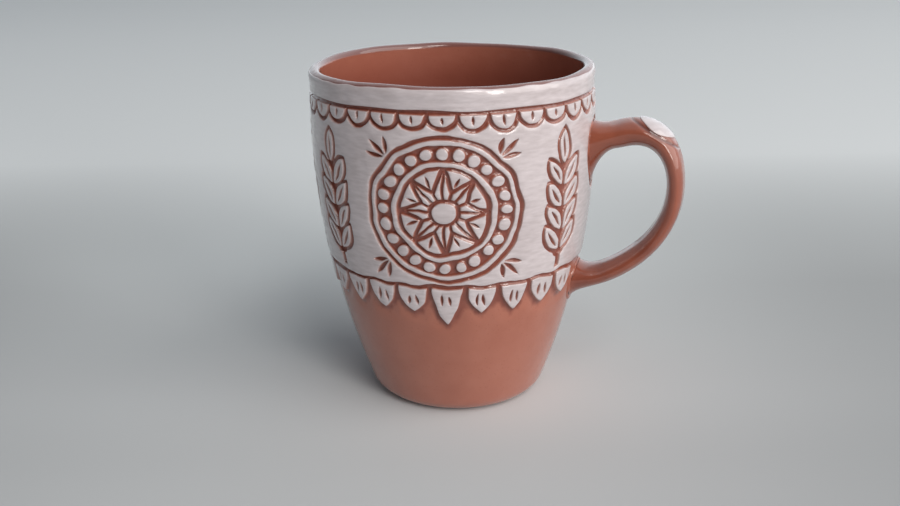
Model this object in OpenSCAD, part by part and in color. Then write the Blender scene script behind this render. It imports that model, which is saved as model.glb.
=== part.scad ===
// Red clay mug with a strap handle and a coat of white slip carved into islands.
// Millimetres. Origin at the centre of the foot, +Z up, handle along +X.

/* [Cup] */
// Height from the table to the top of the lip
height = 106; // [96:1:120]
// Widest diameter of the clay wall, without slip
wall_d = 86.8; // [80:0.2:96]
// Height of the widest place over the table
widest_h = 86; // [78:1:96]
// Radius of the bow of the wall, seen from the side
bow_r = 237; // [210:1:400]
// Thickness of the wall
wall_t = 4; // [3:0.1:5.5]
// Thickness of the floor
floor_t = 6.5; // [4:0.5:10]
// Radius of the rounded edge between foot and wall
foot_round = 7; // [3:0.5:9]
// Radius of the rounded corner inside, between floor and wall
inside_round = 10; // [5:0.5:14]
// Thickness of the rounded lip, without slip
lip_t = 3.4; // [3:0.1:4]
// How far the lip stands out past the wall
lip_flare = 0.7; // [0.5:0.1:1.4]
// Height over which the inside opens out towards the lip
lip_opening_h = 14; // [8:1:20]

/* [Handle] */
// Distance from the top of the lip down to the middle of the upper root
upper_root_drop = 26; // [24:0.5:32]
// Height of the middle of the lower root over the table
lower_root_h = 38.5; // [36:0.5:46]
// Reach of the handle past the widest place of the wall
handle_reach = 28; // [25:0.2:36]
// Distance of the strap's crown from the wall
crown_out = 13.7; // [12:0.1:16]
// Rise of the strap's crown over the middle of the upper root
crown_rise = 6.9; // [5:0.1:9]
// Rise of the outermost place over the middle between the roots
outer_rise = 11.5; // [6:0.5:14]
// Slope of the lower arm where it nears the wall, in degrees
arm_slope = 26; // [20:1:36]
// Width of the strap
strap_w = 13; // [11:0.5:15]
// Thickness of the strap at its crown
crown_t = 8.2; // [6:0.2:9.4]
// Thickness of the strap at its outer side
strap_t = 5.4; // [4.5:0.1:7.5]
// Thickness of the strap at the end of its lower arm
arm_t = 6.4; // [5:0.1:8]

/* [Roots of the handle] */
// Width of the upper root on the wall
upper_root_w = 17; // [15:0.5:18]
// Height of the upper root on the wall
upper_root_len = 19.5; // [16:0.5:22]
// Width of the lower root on the wall
lower_root_w = 15; // [14:0.5:16]
// Height of the lower root on the wall
lower_root_len = 12.5; // [10:0.5:14]
// Distance from the wall at which the upper root has become the strap
upper_flare = 6.5; // [6:0.5:9]
// Rise of the strap's start over the middle of the upper root
upper_start_rise = 5.5; // [3:0.5:6]
// Distance from the wall at which the lower root has become the strap
lower_flare = 10; // [7:0.5:12]
// Rise of the strap's end over the middle of the lower root
lower_end_rise = 3.5; // [2:0.5:6]
// Thickness of the joining slip under the roots
joint_t = 0.5; // [0.3:0.1:1]
// How far the joining slip is squeezed out round the roots
joint_bead = 0.6; // [0.3:0.1:1]

/* [White slip] */
// Thickness of the slip coat
slip_t = 0.6; // [0.4:0.1:1.2]
// Width of the carved lines
line_w = 1.2; // [0.9:0.1:1.5]
// Bare clay between the top of the lip and the slip
lip_bare = 1.6; // [1.2:0.1:2.4]
// Height of the plain band round the lip
band_h = 4.8; // [3.4:0.1:6]
// Number of arches in the border
arch_count = 32; // [26:1:38]
// Height of the top of the hem over the table
hem_h = 47; // [45:0.5:50]
// Length of the hanging points of the hem
point_len = 8; // [5:0.5:10]
// Extra length of the points under the medallions
long_point_extra = 4; // [1:0.5:6]
// Number of places for points round the mug
point_count = 25; // [25:1:28]
// Bare clay round the roots of the handle
root_bare = 0.7; // [0.5:0.1:2]

/* [Medallions] */
// Ground left between a medallion's outline and the borders
medallion_margin = 0.7; // [0.4:0.1:2]
// Ground left between a medallion's outline and the ears beside it
medallion_gap = 1; // [0.6:0.1:3]
// Width of a medallion's carved lines, as a share of its radius
medallion_line = 0.053; // [0.04:0.001:0.062]
// Width of the plain rings, as a share of the medallion's radius
ring_share = 0.062; // [0.045:0.001:0.08]
// Diameter of the beads, as a share of the medallion's radius
bead_share = 0.15; // [0.115:0.001:0.165]
// Bare clay between the beads and the rings, as a share of the medallion's radius
bead_bare = 0.031; // [0.02:0.001:0.045]
// Number of beads in a ring
bead_count = 24; // [18:1:25]
// Number of points of the star
star_count = 8; // [6:1:9]
// Bare clay between the star's tips and the inner ring, as a share of the medallion's radius
star_bare = 0.088; // [0.062:0.001:0.115]
// Distance of the star's valleys from its middle, as a share of the medallion's radius
valley_share = 0.257; // [0.24:0.001:0.28]
// Width of the lines that split the star's points, as a share of the medallion's radius
split_share = 0.035; // [0.027:0.001:0.044]
// Diameter of the boss in the middle, as a share of the medallion's radius
boss_share = 0.283; // [0.22:0.001:0.31]

/* [Wheat] */
// Length of a grain, as a share of the height of the field
grain_share = 0.215; // [0.17:0.001:0.235]
// Width of a grain, as a share of its length
grain_slim = 0.42; // [0.32:0.01:0.44]
// Lean of the grains away from the stem, in degrees
grain_lean = 36; // [32:1:38]
// Number of pairs of grains on an ear
grain_pairs = 4; // [3:1:4]
// Width of the carved lines round the grains, as a share of their length
grain_line = 0.12; // [0.1:0.001:0.14]
// Ground left over the tip of an ear, as a share of the height of the field
ear_margin = 0.043; // [0.03:0.001:0.08]
// Length of the bare stem under the grains, as a share of the height of the field
stem_share = 0.118; // [0.065:0.001:0.15]
// Width of the stem's carved line, as a share of the length of a grain
stem_slim = 0.2; // [0.18:0.01:0.24]
// Radius of the scoop at the foot of a grain, as a share of the grain's length
axil_share = 0.2; // [0.2:0.01:0.26]
// Ground left under the stem, as a share of the height of the field
stem_margin = 0.032; // [0.012:0.001:0.06]

/* [Handle slip] */
// Length of the almond of slip along the strap
almond_len = 9; // [6:0.5:11]
// Bare clay between the almond and the sides of the strap
almond_edge = 0.8; // [0.5:0.1:2]
// Distance of the almond's first tip past the crown, along the strap
almond_start = 0.2; // [0:0.1:3]

/* [Hidden] */

clay = "#a8654f";
joining_slip = "#96523f";
white_slip = "#d8d3d0";

round_fn = 144;
bow_fn = 720;
small_fn = 60;

// The bow of the wall is one arc about this centre
wall_r = wall_d / 2;
bow_x = wall_r - bow_r;
function bow_at(bow, z) = bow_x + sqrt(pow(bow, 2) - pow(z - widest_h, 2));
function wall_at(z) = bow_at(bow_r, z);

// Middle of a rounding between a level line and a bow, and where it touches the bow
function round_x(r, level, bow) = bow_at(bow - r, level + r);
function touch(r, level, bow) =
  [bow_x, widest_h] + ([round_x(r, level, bow), level + r] - [bow_x, widest_h]) * bow / (bow - r);

// Lip
lip_z = height - lip_t / 2;
lip_r = wall_at(lip_z) + lip_flare - lip_t / 2;
opening_z = height - lip_opening_h;
inside_bow = bow_r - wall_t;

// Borders of the slip, from the lip down
band_top = height - lip_bare;
arch_top = band_top - band_h - line_w;
arch_pitch = 360 / arch_count;
arch_r = wall_at(arch_top) * sin(arch_pitch / 2) - line_w / 2;
arch_low = arch_top - arch_r;
hem_low = hem_h - point_len - long_point_extra;
point_pitch = 360 / point_count;
point_w = 2 * wall_at(hem_h - point_len) * sin(point_pitch / 2) - line_w;
ground_low = hem_h + line_w;
field_top = arch_low - line_w;
field_h = field_top - ground_low;

// Places round the mug: medallions opposite the handle and on both sides, ears between
points_per_medallion = 7;
medallion_step = points_per_medallion * point_pitch;
medallion_az = [for (i = [-1:1]) 180 + i * medallion_step];
wheat_az = [for (i = [-1.5:1:1.5]) 180 + i * medallion_step];

// Points of the hem stop where they would meet the lower root
root_half_az = asin((lower_root_w / 2 + joint_bead + root_bare) / wall_at(lower_root_h));
point_half_az = asin(point_w / 2 / wall_at(hem_h));
last_point = floor((180 - root_half_az - point_half_az) / point_pitch);

// Ears of wheat fill the height of the field
grain_len = grain_share * field_h;
grain_w = grain_slim * grain_len;
grain_line_w = grain_line * grain_len;
grain_foot = grain_line_w / 2;
stem_w = stem_slim * grain_len;
axil_r = axil_share * grain_len;
stem_low = stem_margin * field_h;
grain_start = stem_low + stem_share * field_h;
grain_step = (field_h - ear_margin * field_h - grain_start - grain_len) / grain_pairs;
ear_half_w = grain_foot + (grain_len + grain_line_w) * sin(grain_lean);

// A medallion fills the height of the field or the room between two ears
medallion_z = (ground_low + field_top) / 2;
ear_half_az = asin((ear_half_w + medallion_gap) / wall_at(medallion_z));
medallion_half_az = medallion_step / 2 - ear_half_az;
medallion_r = min(field_h / 2 - medallion_margin, wall_at(medallion_z) * sin(medallion_half_az));

// Rings of a medallion, from the outside in
inner_line_w = medallion_line * medallion_r;
ring_w = ring_share * medallion_r;
bead_d = bead_share * medallion_r;
bead_room = bead_d + 2 * bead_bare * medallion_r;
outer_ring_r = medallion_r - inner_line_w;
bead_ring_r = outer_ring_r - ring_w - bead_room / 2;
inner_ring_r = bead_ring_r - bead_room / 2;
star_field_r = inner_ring_r - ring_w - inner_line_w;
tip_r = inner_ring_r - ring_w - star_bare * medallion_r;
valley_r = valley_share * medallion_r;
split_w = split_share * medallion_r;
boss_d = boss_share * medallion_r;
half_point = 180 / star_count;
star_hole_r = boss_d / 2 + inner_line_w;

// A star grown by this share has its edges one carved line further out
valley_side = valley_r * sin(half_point);
edge_len = norm([tip_r - valley_r * cos(half_point), valley_side]);
star_outline = 1 + inner_line_w * edge_len / (tip_r * valley_side);

// Cutters start this deep under the slip, seen from the front, and reach well past it
cut_under = 1;
cut_past = 20;

// Roots of the handle: width, height on the wall, middle and how much the tail narrows
upper_root = [upper_root_w, upper_root_len, height - upper_root_drop, 0.45];
lower_root = [lower_root_w, lower_root_len, lower_root_h, 0.1];
side_count = 28;
arm_steps = 12;
flare_steps = 5;
half_share = 0.5;
function root_z(root) = root[2];
function root_outline(root, grow) = [
  for (i = [0:side_count - 1])
    let (a = 360 * i / side_count, narrow = 1 - root[3] * (1 - cos(a)) / 2)
    [(root[0] / 2 + grow) * sin(a) * narrow, root_z(root) + (root[1] / 2 + grow) * cos(a)]
];
function shrunk(root, share) = [
  for (p = root_outline(root, 0)) [p[0] * share, root_z(root) + (p[1] - root_z(root)) * share]
];
function on_wall(p, lift) = [sqrt(pow(wall_at(p[1]) + lift, 2) - p[0] * p[0]), p[0], p[1]];
function laid_on_wall(outline, lift) = [for (p = outline) on_wall(p, lift)];

// The strap runs downwards at the lower root, so its rings start at the bottom there
function from_bottom(ring) =
  [for (i = [0:side_count - 1]) ring[(side_count * 3 / 2 - i) % side_count]];

// Middle line of the strap in the XZ plane: start, crown, outer side, end at the lower root
start = [wall_at(root_z(upper_root)) + upper_flare, root_z(upper_root) + upper_start_rise];
crown = [wall_at(root_z(upper_root)) + crown_out, root_z(upper_root) + crown_rise];
outer_side = [
  wall_r + handle_reach - strap_t / 2,
  (root_z(upper_root) + root_z(lower_root)) / 2 + outer_rise
];
end = [wall_at(root_z(lower_root)) + lower_flare, root_z(lower_root) + lower_end_rise];

// Shares of a stretch that its curve runs straight before it bends
start_share = 0.42;
bend_share = 0.6;
arm_share = 0.45;
end_share = 0.34;
bend = bend_share * (outer_side - crown);
fall = outer_side[1] - root_z(lower_root);
arm_way = [cos(arm_slope), sin(arm_slope)];
arms = [
  [start, start + start_share * (crown - start), crown - [start_share * (crown[0] - start[0]), 0], crown],
  [crown, crown + [bend[0], 0], outer_side - [0, bend[1]], outer_side],
  [outer_side, outer_side - [0, arm_share * fall], end + end_share * fall * arm_way, end]
];
function bezier(p, t) =
  pow(1 - t, 3) * p[0] + 3 * t * pow(1 - t, 2) * p[1] + 3 * t * t * (1 - t) * p[2] + pow(t, 3) * p[3];
function bezier_way(p, t) =
  let (d = pow(1 - t, 2) * (p[1] - p[0]) + 2 * t * (1 - t) * (p[2] - p[1]) + t * t * (p[3] - p[2]))
  d / norm(d);

// Thickness along the arms: full to the crown, thinnest at the outer side
function thickness(arm, t) =
  arm == 0 ? crown_t
  : arm == 1 ? crown_t + (strap_t - crown_t) * t * t * (3 - 2 * t)
  : strap_t + (arm_t - strap_t) * t * t * (3 - 2 * t);

// A point of the strap's skin: side 0 lies on the outer face, side 90 towards +Y
function strap_point(arm, t, side, lift) =
  let (
    middle = bezier(arms[arm], t),
    way = bezier_way(arms[arm], t),
    across = (thickness(arm, t) / 2 + lift) * cos(side),
    along = (strap_w / 2 + lift) * sin(side)
  )
  [middle[0] - way[1] * across, along, middle[1] + way[0] * across];
function strap_ring(arm, t) =
  [for (i = [0:side_count - 1]) strap_point(arm, t, 360 * i / side_count, 0)];

// Flare from a root to the strap: leaves the wall at a low angle and meets the strap in line
slide_share = 0.45;
flare_lift = 0.4;
pull_share = 0.55;
function flare_ring(foot, ring, inwards, flare, share) = [
  for (i = [0:side_count - 1])
    let (slide = foot[i] + slide_share * (ring[i] - foot[i]))
    bezier([
      foot[i],
      [foot[i][0] + flare_lift, slide[1], slide[2]],
      ring[i] + pull_share * flare * [inwards[0], 0, inwards[1]],
      ring[i]
    ], share)
];

// Walls between rings of points, and a fan that closes a ring with one point
function ring_walls(rings) = [
  for (r = [0:rings - 2], i = [0:side_count - 1])
    let (a = 1 + r * side_count + i, b = 1 + r * side_count + (i + 1) % side_count)
    each [[a, b, a + side_count], [b, b + side_count, a + side_count]]
];
function fan(first, tip) =
  [for (i = [0:side_count - 1]) [first + (i + 1) % side_count, first + i, tip]];
function turned(faces) = [for (f = faces) [f[1], f[0], f[2]]];

// Solid from a first point, rings and a last point
module ringed_solid(first, rings, last) {
  points = concat([first], [for (r = rings) each r], [last]);
  end_point = len(points) - 1;
  polyhedron(points, concat(
    fan(1, 0),
    ring_walls(len(rings)),
    turned(fan(end_point - side_count, end_point))
  ));
}

module wall_section(bow) {
  intersection() {
    translate([bow_x, widest_h]) circle(bow, $fn = bow_fn);
    square([wall_r + lip_flare, lip_z]);
  }
}

// What a rounding takes off the sharp corner between a level line and a bow
module corner_waste(r, level, bow) {
  middle = round_x(r, level, bow);
  meet = touch(r, level, bow);
  difference() {
    polygon([[middle, level - r], [meet[0] + r, level - r], meet, [middle, level + r]]);
    translate([middle, level + r]) circle(r, $fn = round_fn);
  }
}

module cavity_section() {
  difference() {
    union() {
      intersection() {
        wall_section(inside_bow);
        translate([0, floor_t]) square([wall_r, opening_z - floor_t]);
      }
      polygon([
        [0, opening_z], [bow_at(inside_bow, opening_z), opening_z],
        [lip_r - lip_t / 2, lip_z], [lip_r - lip_t / 2, height], [0, height]
      ]);
    }
    corner_waste(inside_round, floor_t, inside_bow);
  }
}

// The lip is round on top and outside; its inner lower quarter is wall
module lip_section() {
  translate([lip_r, lip_z])
    difference() {
      circle(lip_t / 2, $fn = round_fn);
      translate([-lip_t, -lip_t]) square(lip_t);
    }
}

module cup_body() {
  color(clay)
    rotate_extrude($fn = round_fn) {
      difference() {
        wall_section(bow_r);
        corner_waste(foot_round, 0, bow_r);
        cavity_section();
      }
      lip_section();
    }
}

// Joining slip: fills the gap under a root and is squeezed out round it
module joint_layer(root) {
  middle = [0, root_z(root)];
  color(joining_slip)
    ringed_solid(
      on_wall(middle, 0),
      [
        laid_on_wall(shrunk(root, half_share), 0),
        laid_on_wall(root_outline(root, 0), 0),
        laid_on_wall(root_outline(root, joint_bead), 0),
        laid_on_wall(root_outline(root, 0), joint_t),
        laid_on_wall(shrunk(root, half_share), joint_t)
      ],
      on_wall(middle, joint_t)
    );
}

module upper_joint() {
  joint_layer(upper_root);
}

module lower_joint() {
  joint_layer(lower_root);
}

module handle() {
  upper_foot = laid_on_wall(root_outline(upper_root, 0), joint_t);
  lower_foot = from_bottom(laid_on_wall(root_outline(lower_root, 0), joint_t));
  backwards = -bezier_way(arms[0], 0);
  onwards = bezier_way(arms[2], 1);
  color(clay)
    ringed_solid(
      on_wall([0, root_z(upper_root)], joint_t),
      concat(
        [laid_on_wall(shrunk(upper_root, half_share), joint_t)],
        [for (i = [0:flare_steps - 1])
          flare_ring(upper_foot, strap_ring(0, 0), backwards, upper_flare, i / flare_steps)],
        [for (arm = [0:2], i = [0:arm_steps - 1]) strap_ring(arm, i / arm_steps)],
        [for (i = [0:flare_steps])
          flare_ring(lower_foot, strap_ring(2, 1), onwards, lower_flare, 1 - i / flare_steps)],
        [from_bottom(laid_on_wall(shrunk(lower_root, half_share), joint_t))]
      ),
      on_wall([0, root_z(lower_root)], joint_t)
    );
}

// Coat of slip round the whole wall, between two heights
module slip_coat(low, high) {
  rotate_extrude($fn = round_fn)
    intersection() {
      translate([bow_x, widest_h])
        difference() {
          circle(bow_r + slip_t, $fn = bow_fn);
          circle(bow_r, $fn = bow_fn);
        }
      translate([0, low]) square([wall_r + 2 * slip_t, high - low]);
    }
}

// Cutter through the slip at one place, for a shape of a given half width and
// lowest height, drawn as seen from outside with its origin at height z
module through_slip(az, z, half_w, low) {
  from = sqrt(pow(wall_at(low), 2) - half_w * half_w) - cut_under;
  rotate([0, 0, az])
    translate([from, 0, z])
      rotate([90, 0, 90])
        linear_extrude(wall_r - from + cut_past) children();
}

module root_clearance(root) {
  bare = joint_bead + root_bare;
  through_slip(0, 0, root[0] / 2 + bare, root_z(root) - root[1])
    polygon(root_outline(root, bare));
}

// Almond shape, upright, with its lower tip at the origin
module almond(len, width) {
  side_r = (len * len + width * width) / (4 * width);
  translate([0, len / 2])
    intersection() {
      translate([side_r - width / 2, 0]) circle(side_r, $fn = round_fn);
      translate([width / 2 - side_r, 0]) circle(side_r, $fn = round_fn);
    }
}

// Wall and lip together, grown outwards
module outer_section(grow) {
  translate([bow_x, widest_h]) circle(bow_r + grow, $fn = bow_fn);
  translate([lip_r, lip_z]) circle(lip_t / 2 + grow, $fn = round_fn);
}

// The band runs up over the swell of the lip
module lip_band() {
  color(white_slip)
    rotate_extrude($fn = round_fn)
      intersection() {
        difference() {
          outer_section(slip_t);
          outer_section(0);
        }
        translate([lip_r, band_top - band_h]) square([lip_t, band_h]);
      }
}

module arch_cutters(grow) {
  for (i = [0:arch_count - 1])
    through_slip(i * arch_pitch, arch_top, arch_r + grow, arch_low)
      difference() {
        circle(arch_r + grow, $fn = small_fn);
        translate([-wall_r, grow]) square([wall_d, wall_r]);
      }
}

module border_arches() {
  color(white_slip)
    intersection() {
      slip_coat(arch_low, arch_top);
      arch_cutters(0);
    }
}

module grain(grow) {
  translate([0, -grow]) almond(grain_len + 2 * grow, grain_w + 2 * grow);
}

// Grains of an ear: pairs that lean outwards, and one upright at the tip
module at_grains() {
  translate([0, grain_start + grain_pairs * grain_step]) children();
  for (i = [0:grain_pairs - 1], side = [-1, 1])
    translate([side * grain_foot, grain_start + i * grain_step])
      rotate(-side * grain_lean)
        children();
}

module stem_line() {
  translate([-stem_w / 2, stem_low])
    square([stem_w, grain_start - stem_low + grain_pairs * grain_step]);
}

module at_ears() {
  for (az = wheat_az)
    through_slip(az, ground_low, ear_half_w, ground_low) children();
}

module wheat_grains() {
  color(white_slip)
    intersection() {
      slip_coat(ground_low, field_top);
      at_ears() at_grains() grain(0);
    }
}

module at_medallions() {
  for (az = medallion_az)
    through_slip(az, medallion_z, medallion_r, ground_low) children();
}

// Slip left standing where a shape is drawn in every medallion
module medallion_slip() {
  color(white_slip)
    intersection() {
      slip_coat(ground_low, field_top);
      at_medallions() children();
    }
}

module slip_ground() {
  color(white_slip)
    difference() {
      slip_coat(ground_low, arch_top - line_w);
      at_medallions() circle(medallion_r, $fn = round_fn);
      at_ears() {
        at_grains() grain(grain_line_w);
        at_grains() circle(axil_r, $fn = small_fn);
        stem_line();
      }
      arch_cutters(line_w);
      root_clearance(upper_root);
      root_clearance(lower_root);
    }
}

module plain_ring(outer) {
  difference() {
    circle(outer, $fn = round_fn);
    circle(outer - ring_w, $fn = round_fn);
  }
}

module medallion_rings() {
  medallion_slip() {
    plain_ring(outer_ring_r);
    plain_ring(inner_ring_r);
  }
}

module medallion_beads() {
  medallion_slip()
    for (i = [0:bead_count - 1])
      rotate(i * 360 / bead_count)
        translate([bead_ring_r, 0]) circle(d = bead_d, $fn = small_fn);
}

// Star with one point upright, grown by a share
module star(grow) {
  rotate(90)
    polygon([
      for (i = [0:2 * star_count - 1])
        let (r = grow * (i % 2 == 0 ? tip_r : valley_r))
        r * [cos(i * half_point), sin(i * half_point)]
    ]);
}

module star_valleys() {
  medallion_slip()
    difference() {
      circle(star_field_r, $fn = round_fn);
      star(star_outline);
    }
}

module star_points() {
  medallion_slip()
    difference() {
      star(1);
      circle(star_hole_r, $fn = small_fn);
      for (i = [0:2 * star_count - 1])
        rotate(90 + i * half_point)
          translate([0, -split_w / 2]) square([star_field_r, split_w]);
    }
}

module star_bosses() {
  medallion_slip() circle(d = boss_d, $fn = small_fn);
}

// Pointed flap that hangs from the top of the hem
module hem_point(len) {
  translate([0, -len])
    intersection() {
      almond(2 * len, point_w);
      translate([-point_w, 0]) square([2 * point_w, len]);
    }
}

module hem_points() {
  color(white_slip)
    intersection() {
      slip_coat(hem_low, hem_h);
      for (i = [-last_point:last_point])
        through_slip(180 + i * point_pitch, hem_h, point_w / 2, hem_low)
          hem_point(point_len + (i % points_per_medallion == 0 ? long_point_extra : 0));
    }
}

// Almond of slip on the outer face of the strap, just past its crown
module handle_slip() {
  steps = 12;
  half_sides = 8;
  blunt = 0.35;
  under = 0.05;
  bend_len = norm(outer_side - crown);
  first = almond_start / bend_len;
  share = almond_len / bend_len;
  spread = asin(1 - 2 * almond_edge / strap_w);
  places = [
    for (i = [0:steps], k = [-half_sides:half_sides])
      let (open = sin(180 * (i + blunt) / (steps + 2 * blunt)))
      [first + share * i / steps, spread * open * k / half_sides]
  ];
  count = 2 * half_sides + 1;
  total = len(places);
  edge = concat(
    [for (k = [0:count - 1]) k],
    [for (i = [1:steps]) i * count + count - 1],
    [for (k = [count - 2:-1:0]) steps * count + k],
    [for (i = [steps - 1:-1:1]) i * count]
  );
  underside = [
    for (i = [0:steps - 1], k = [0:count - 2])
      let (a = i * count + k)
      each [[a, a + 1, a + count], [a + 1, a + count + 1, a + count]]
  ];
  color(white_slip)
    polyhedron(
      concat(
        [for (p = places) strap_point(1, p[0], p[1], under)],
        [for (p = places) strap_point(1, p[0], p[1], slip_t)]
      ),
      concat(
        underside,
        [for (f = turned(underside)) [for (v = f) v + total]],
        [for (i = [0:len(edge) - 1])
          let (a = edge[i], b = edge[(i + 1) % len(edge)])
          each [[b, a, a + total], [b, a + total, b + total]]]
      )
    );
}

cup_body();
handle();
upper_joint();
lower_joint();
lip_band();
border_arches();
slip_ground();
medallion_rings();
medallion_beads();
star_valleys();
star_points();
star_bosses();
wheat_grains();
hem_points();
handle_slip();
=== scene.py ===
# %% [markdown]
# # A red clay mug with carved white slip
# The real mug is thrown on a wheel in red clay and gets a pulled strap handle. Its upper wall is
# brushed with white slip, which is clay thinned with water. Lines are carved through the slip so
# that the red clay shows, and a clear glaze is fired over everything.
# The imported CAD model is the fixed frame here. It gives the places and the main sizes, and each
# piece that this lesson makes takes the place of one of its nodes.

# %% Load the frame
import math

import bpy
import numpy as np
from mathutils import Matrix, Vector
from mathutils.geometry import delaunay_2d_cdt


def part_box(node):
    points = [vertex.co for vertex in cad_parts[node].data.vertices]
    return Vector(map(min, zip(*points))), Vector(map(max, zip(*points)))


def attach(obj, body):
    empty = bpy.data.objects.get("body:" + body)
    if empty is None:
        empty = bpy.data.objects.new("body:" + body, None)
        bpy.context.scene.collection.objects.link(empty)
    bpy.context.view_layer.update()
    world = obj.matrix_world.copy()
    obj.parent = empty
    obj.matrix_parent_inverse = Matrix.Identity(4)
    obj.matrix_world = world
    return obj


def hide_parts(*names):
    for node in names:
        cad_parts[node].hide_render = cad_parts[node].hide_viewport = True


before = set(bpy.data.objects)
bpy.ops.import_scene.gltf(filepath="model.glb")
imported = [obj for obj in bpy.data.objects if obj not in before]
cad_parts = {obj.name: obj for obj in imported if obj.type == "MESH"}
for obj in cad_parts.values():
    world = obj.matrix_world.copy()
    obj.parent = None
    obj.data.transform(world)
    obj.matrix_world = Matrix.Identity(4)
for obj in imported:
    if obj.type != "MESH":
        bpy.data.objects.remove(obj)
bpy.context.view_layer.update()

print("frame:", len(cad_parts), "nodes")

# %% [markdown]
# ## Sizes
# A potter thinks in millimetres, and Blender's frame is in metres, so the script works in
# millimetres and scales each mesh once, when it is made. Heights are read from the frame's nodes
# where a box can tell them, and the other sizes repeat the CAD model's. The wall is one long bow:
# part of a circle whose middle lies far behind the mug's axis.
# In the names, _R is a radius, _T a thickness, _W a width, _H a height, _LEN a length, and _OFF is
# how far the hand may stray.

# %% Sizes of the clay wall
MM = 0.001


def span(node):
    """Lowest and highest corner of a CAD node, in millimetres."""
    low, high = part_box(node)
    return np.array(low) / MM, np.array(high) / MM


HEIGHT = span("cup_body")[1][2]
WIDEST_H = 86.0
WALL_R = 43.4
BOW_R = 237.0
BOW_X = WALL_R - BOW_R
LIP_T = 3.4
LIP_HALF = LIP_T / 2
LIP_FLARE = 0.7


def bow_at(bow, z):
    """Radius of the mug at a height, on a bow of the given radius."""
    return BOW_X + np.sqrt(bow**2 - (z - WIDEST_H) ** 2)


LIP_Z = HEIGHT - LIP_HALF
LIP_R = bow_at(BOW_R, LIP_Z) + LIP_FLARE - LIP_HALF
print(f"mug {HEIGHT:.0f} mm high, lip {2 * LIP_R + LIP_T:.1f} mm across")

# %% [markdown]
# ## The outside of the clay
# The lip is a round bead on the wall's edge, and a wet sponge blends the two. A drawn profile could
# show that, but the carving has to know the clay's radius at any height, so it is a formula: the
# larger of wall and lip, with a soft change where they are nearly alike.

# %% Radius of the clay at a height
LIP_BLEND = 0.5


def outside_at(z):
    wall = bow_at(BOW_R, z)
    lip = LIP_R + np.sqrt(LIP_HALF**2 - np.clip(z - LIP_Z, -LIP_HALF, 0) ** 2)
    lip = np.where(z > LIP_Z - LIP_HALF, lip, wall - LIP_BLEND)
    share = np.clip(0.5 + 0.5 * (lip - wall) / LIP_BLEND, 0, 1)
    return wall + (lip - wall) * share + LIP_BLEND * share * (1 - share)


print(f"radius {outside_at(WIDEST_H):.1f} mm at the widest, {outside_at(LIP_Z):.1f} mm at the lip")

# %% [markdown]
# ## The unevenness of hand work
# Throwing, drying and firing leave a mug a little out of round, leaning, and wavy at the lip. A
# lattice modifier on each piece could bend it, but then pieces that touch may part. Here one
# function moves the points of every piece, so they all stay together.

# %% Move points as drying and firing do
OUT_OF_ROUND = 0.0028
OVAL = [(2, 1.0, 0.9), (3, 0.5, 2.0)]
LEAN, LEAN_TO = 0.6, math.radians(195)
LIP_WAVE, LIP_WAVE_POWER = 0.24, 9
LIP_TILT, LIP_HIGH_AT = 1.6, math.radians(105)
LIP_RIPPLES = [(3, 1.0, 0.4), (7, 0.4, 1.3), (12, 0.25, 4.0)]


def by_hand(points):
    """True points, moved; OVAL and LIP_RIPPLES give counts round the mug, shares and phases."""
    x, y, z = points.T
    turn = np.arctan2(y, x)
    oval = sum(share * np.cos(count * turn + phase) for count, share, phase in OVAL)
    grow = 1 + OUT_OF_ROUND * oval
    wave = LIP_TILT * np.cos(turn - LIP_HIGH_AT)
    for count, share, phase in LIP_RIPPLES:
        wave = wave + share * np.sin(count * turn + phase)
    high = np.clip(z / HEIGHT, 0, 1)
    lean = LEAN * high**2
    x_to = x * grow + lean * math.cos(LEAN_TO)
    y_to = y * grow + lean * math.sin(LEAN_TO)
    return np.stack([x_to, y_to, z + LIP_WAVE * wave * high**LIP_WAVE_POWER], 1)


def on_cylinder(turn, radius, z):
    return np.stack([radius * np.cos(turn), radius * np.sin(turn), z], 1)


FULL_TURN = 2 * math.pi
degrees = np.linspace(0, FULL_TURN, 361)
lip_line = by_hand(on_cylinder(degrees, LIP_R, 0 * degrees + HEIGHT))
print(f"lip {lip_line[:, 2].min():.1f} to {lip_line[:, 2].max():.1f} mm high")

# %% [markdown]
# ## How a piece is made
# Every mesh is made in the same way: points and faces go in, points that fall together are
# welded, the piece rides on the frame's one body and stands for its CAD node. Numbers that belong
# to the points, such as how deep a place is carved, are kept as attributes for the materials.
# Editing commands could do the same, but plain lists need no selection and run the same each time.

# %% Make a piece from points and faces
WELD = 0.002
pieces = {}


def weld_cell(points):
    """The small cube that each point falls in; points in one cube become one."""
    return np.round(points / WELD).astype(np.int64)


def weld(points, faces):
    """Which points are kept, and the faces between them."""
    _, first, new = np.unique(weld_cell(points), axis=0, return_index=True, return_inverse=True)
    new = new.ravel()
    kept = []
    for face in faces:
        ring = [int(new[i]) for i in face]
        ring = [v for k, v in enumerate(ring) if v != ring[k - 1]]
        if len(set(ring)) == len(ring) and len(ring) > 2:
            kept.append(ring)
    return first, kept


def make_piece(name, points, faces, node, slot, **marks):
    first, faces = weld(points, faces)
    mesh = bpy.data.meshes.new(name)
    mesh.from_pydata((points[first] * MM).tolist(), [], faces)
    for mark, values in marks.items():
        attribute = mesh.attributes.new(mark, "FLOAT", "POINT")
        attribute.data.foreach_set("value", np.asarray(values, np.float32)[first])
    mesh.shade_smooth()
    piece = bpy.data.objects.new(name, mesh)
    bpy.context.scene.collection.objects.link(piece)
    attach(piece, "root")
    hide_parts(node)
    pieces[name] = piece
    print(f"{name}: {len(mesh.vertices)} points, {len(mesh.polygons)} faces")


print("points that share a cube of", WELD, "mm are welded")

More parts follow.
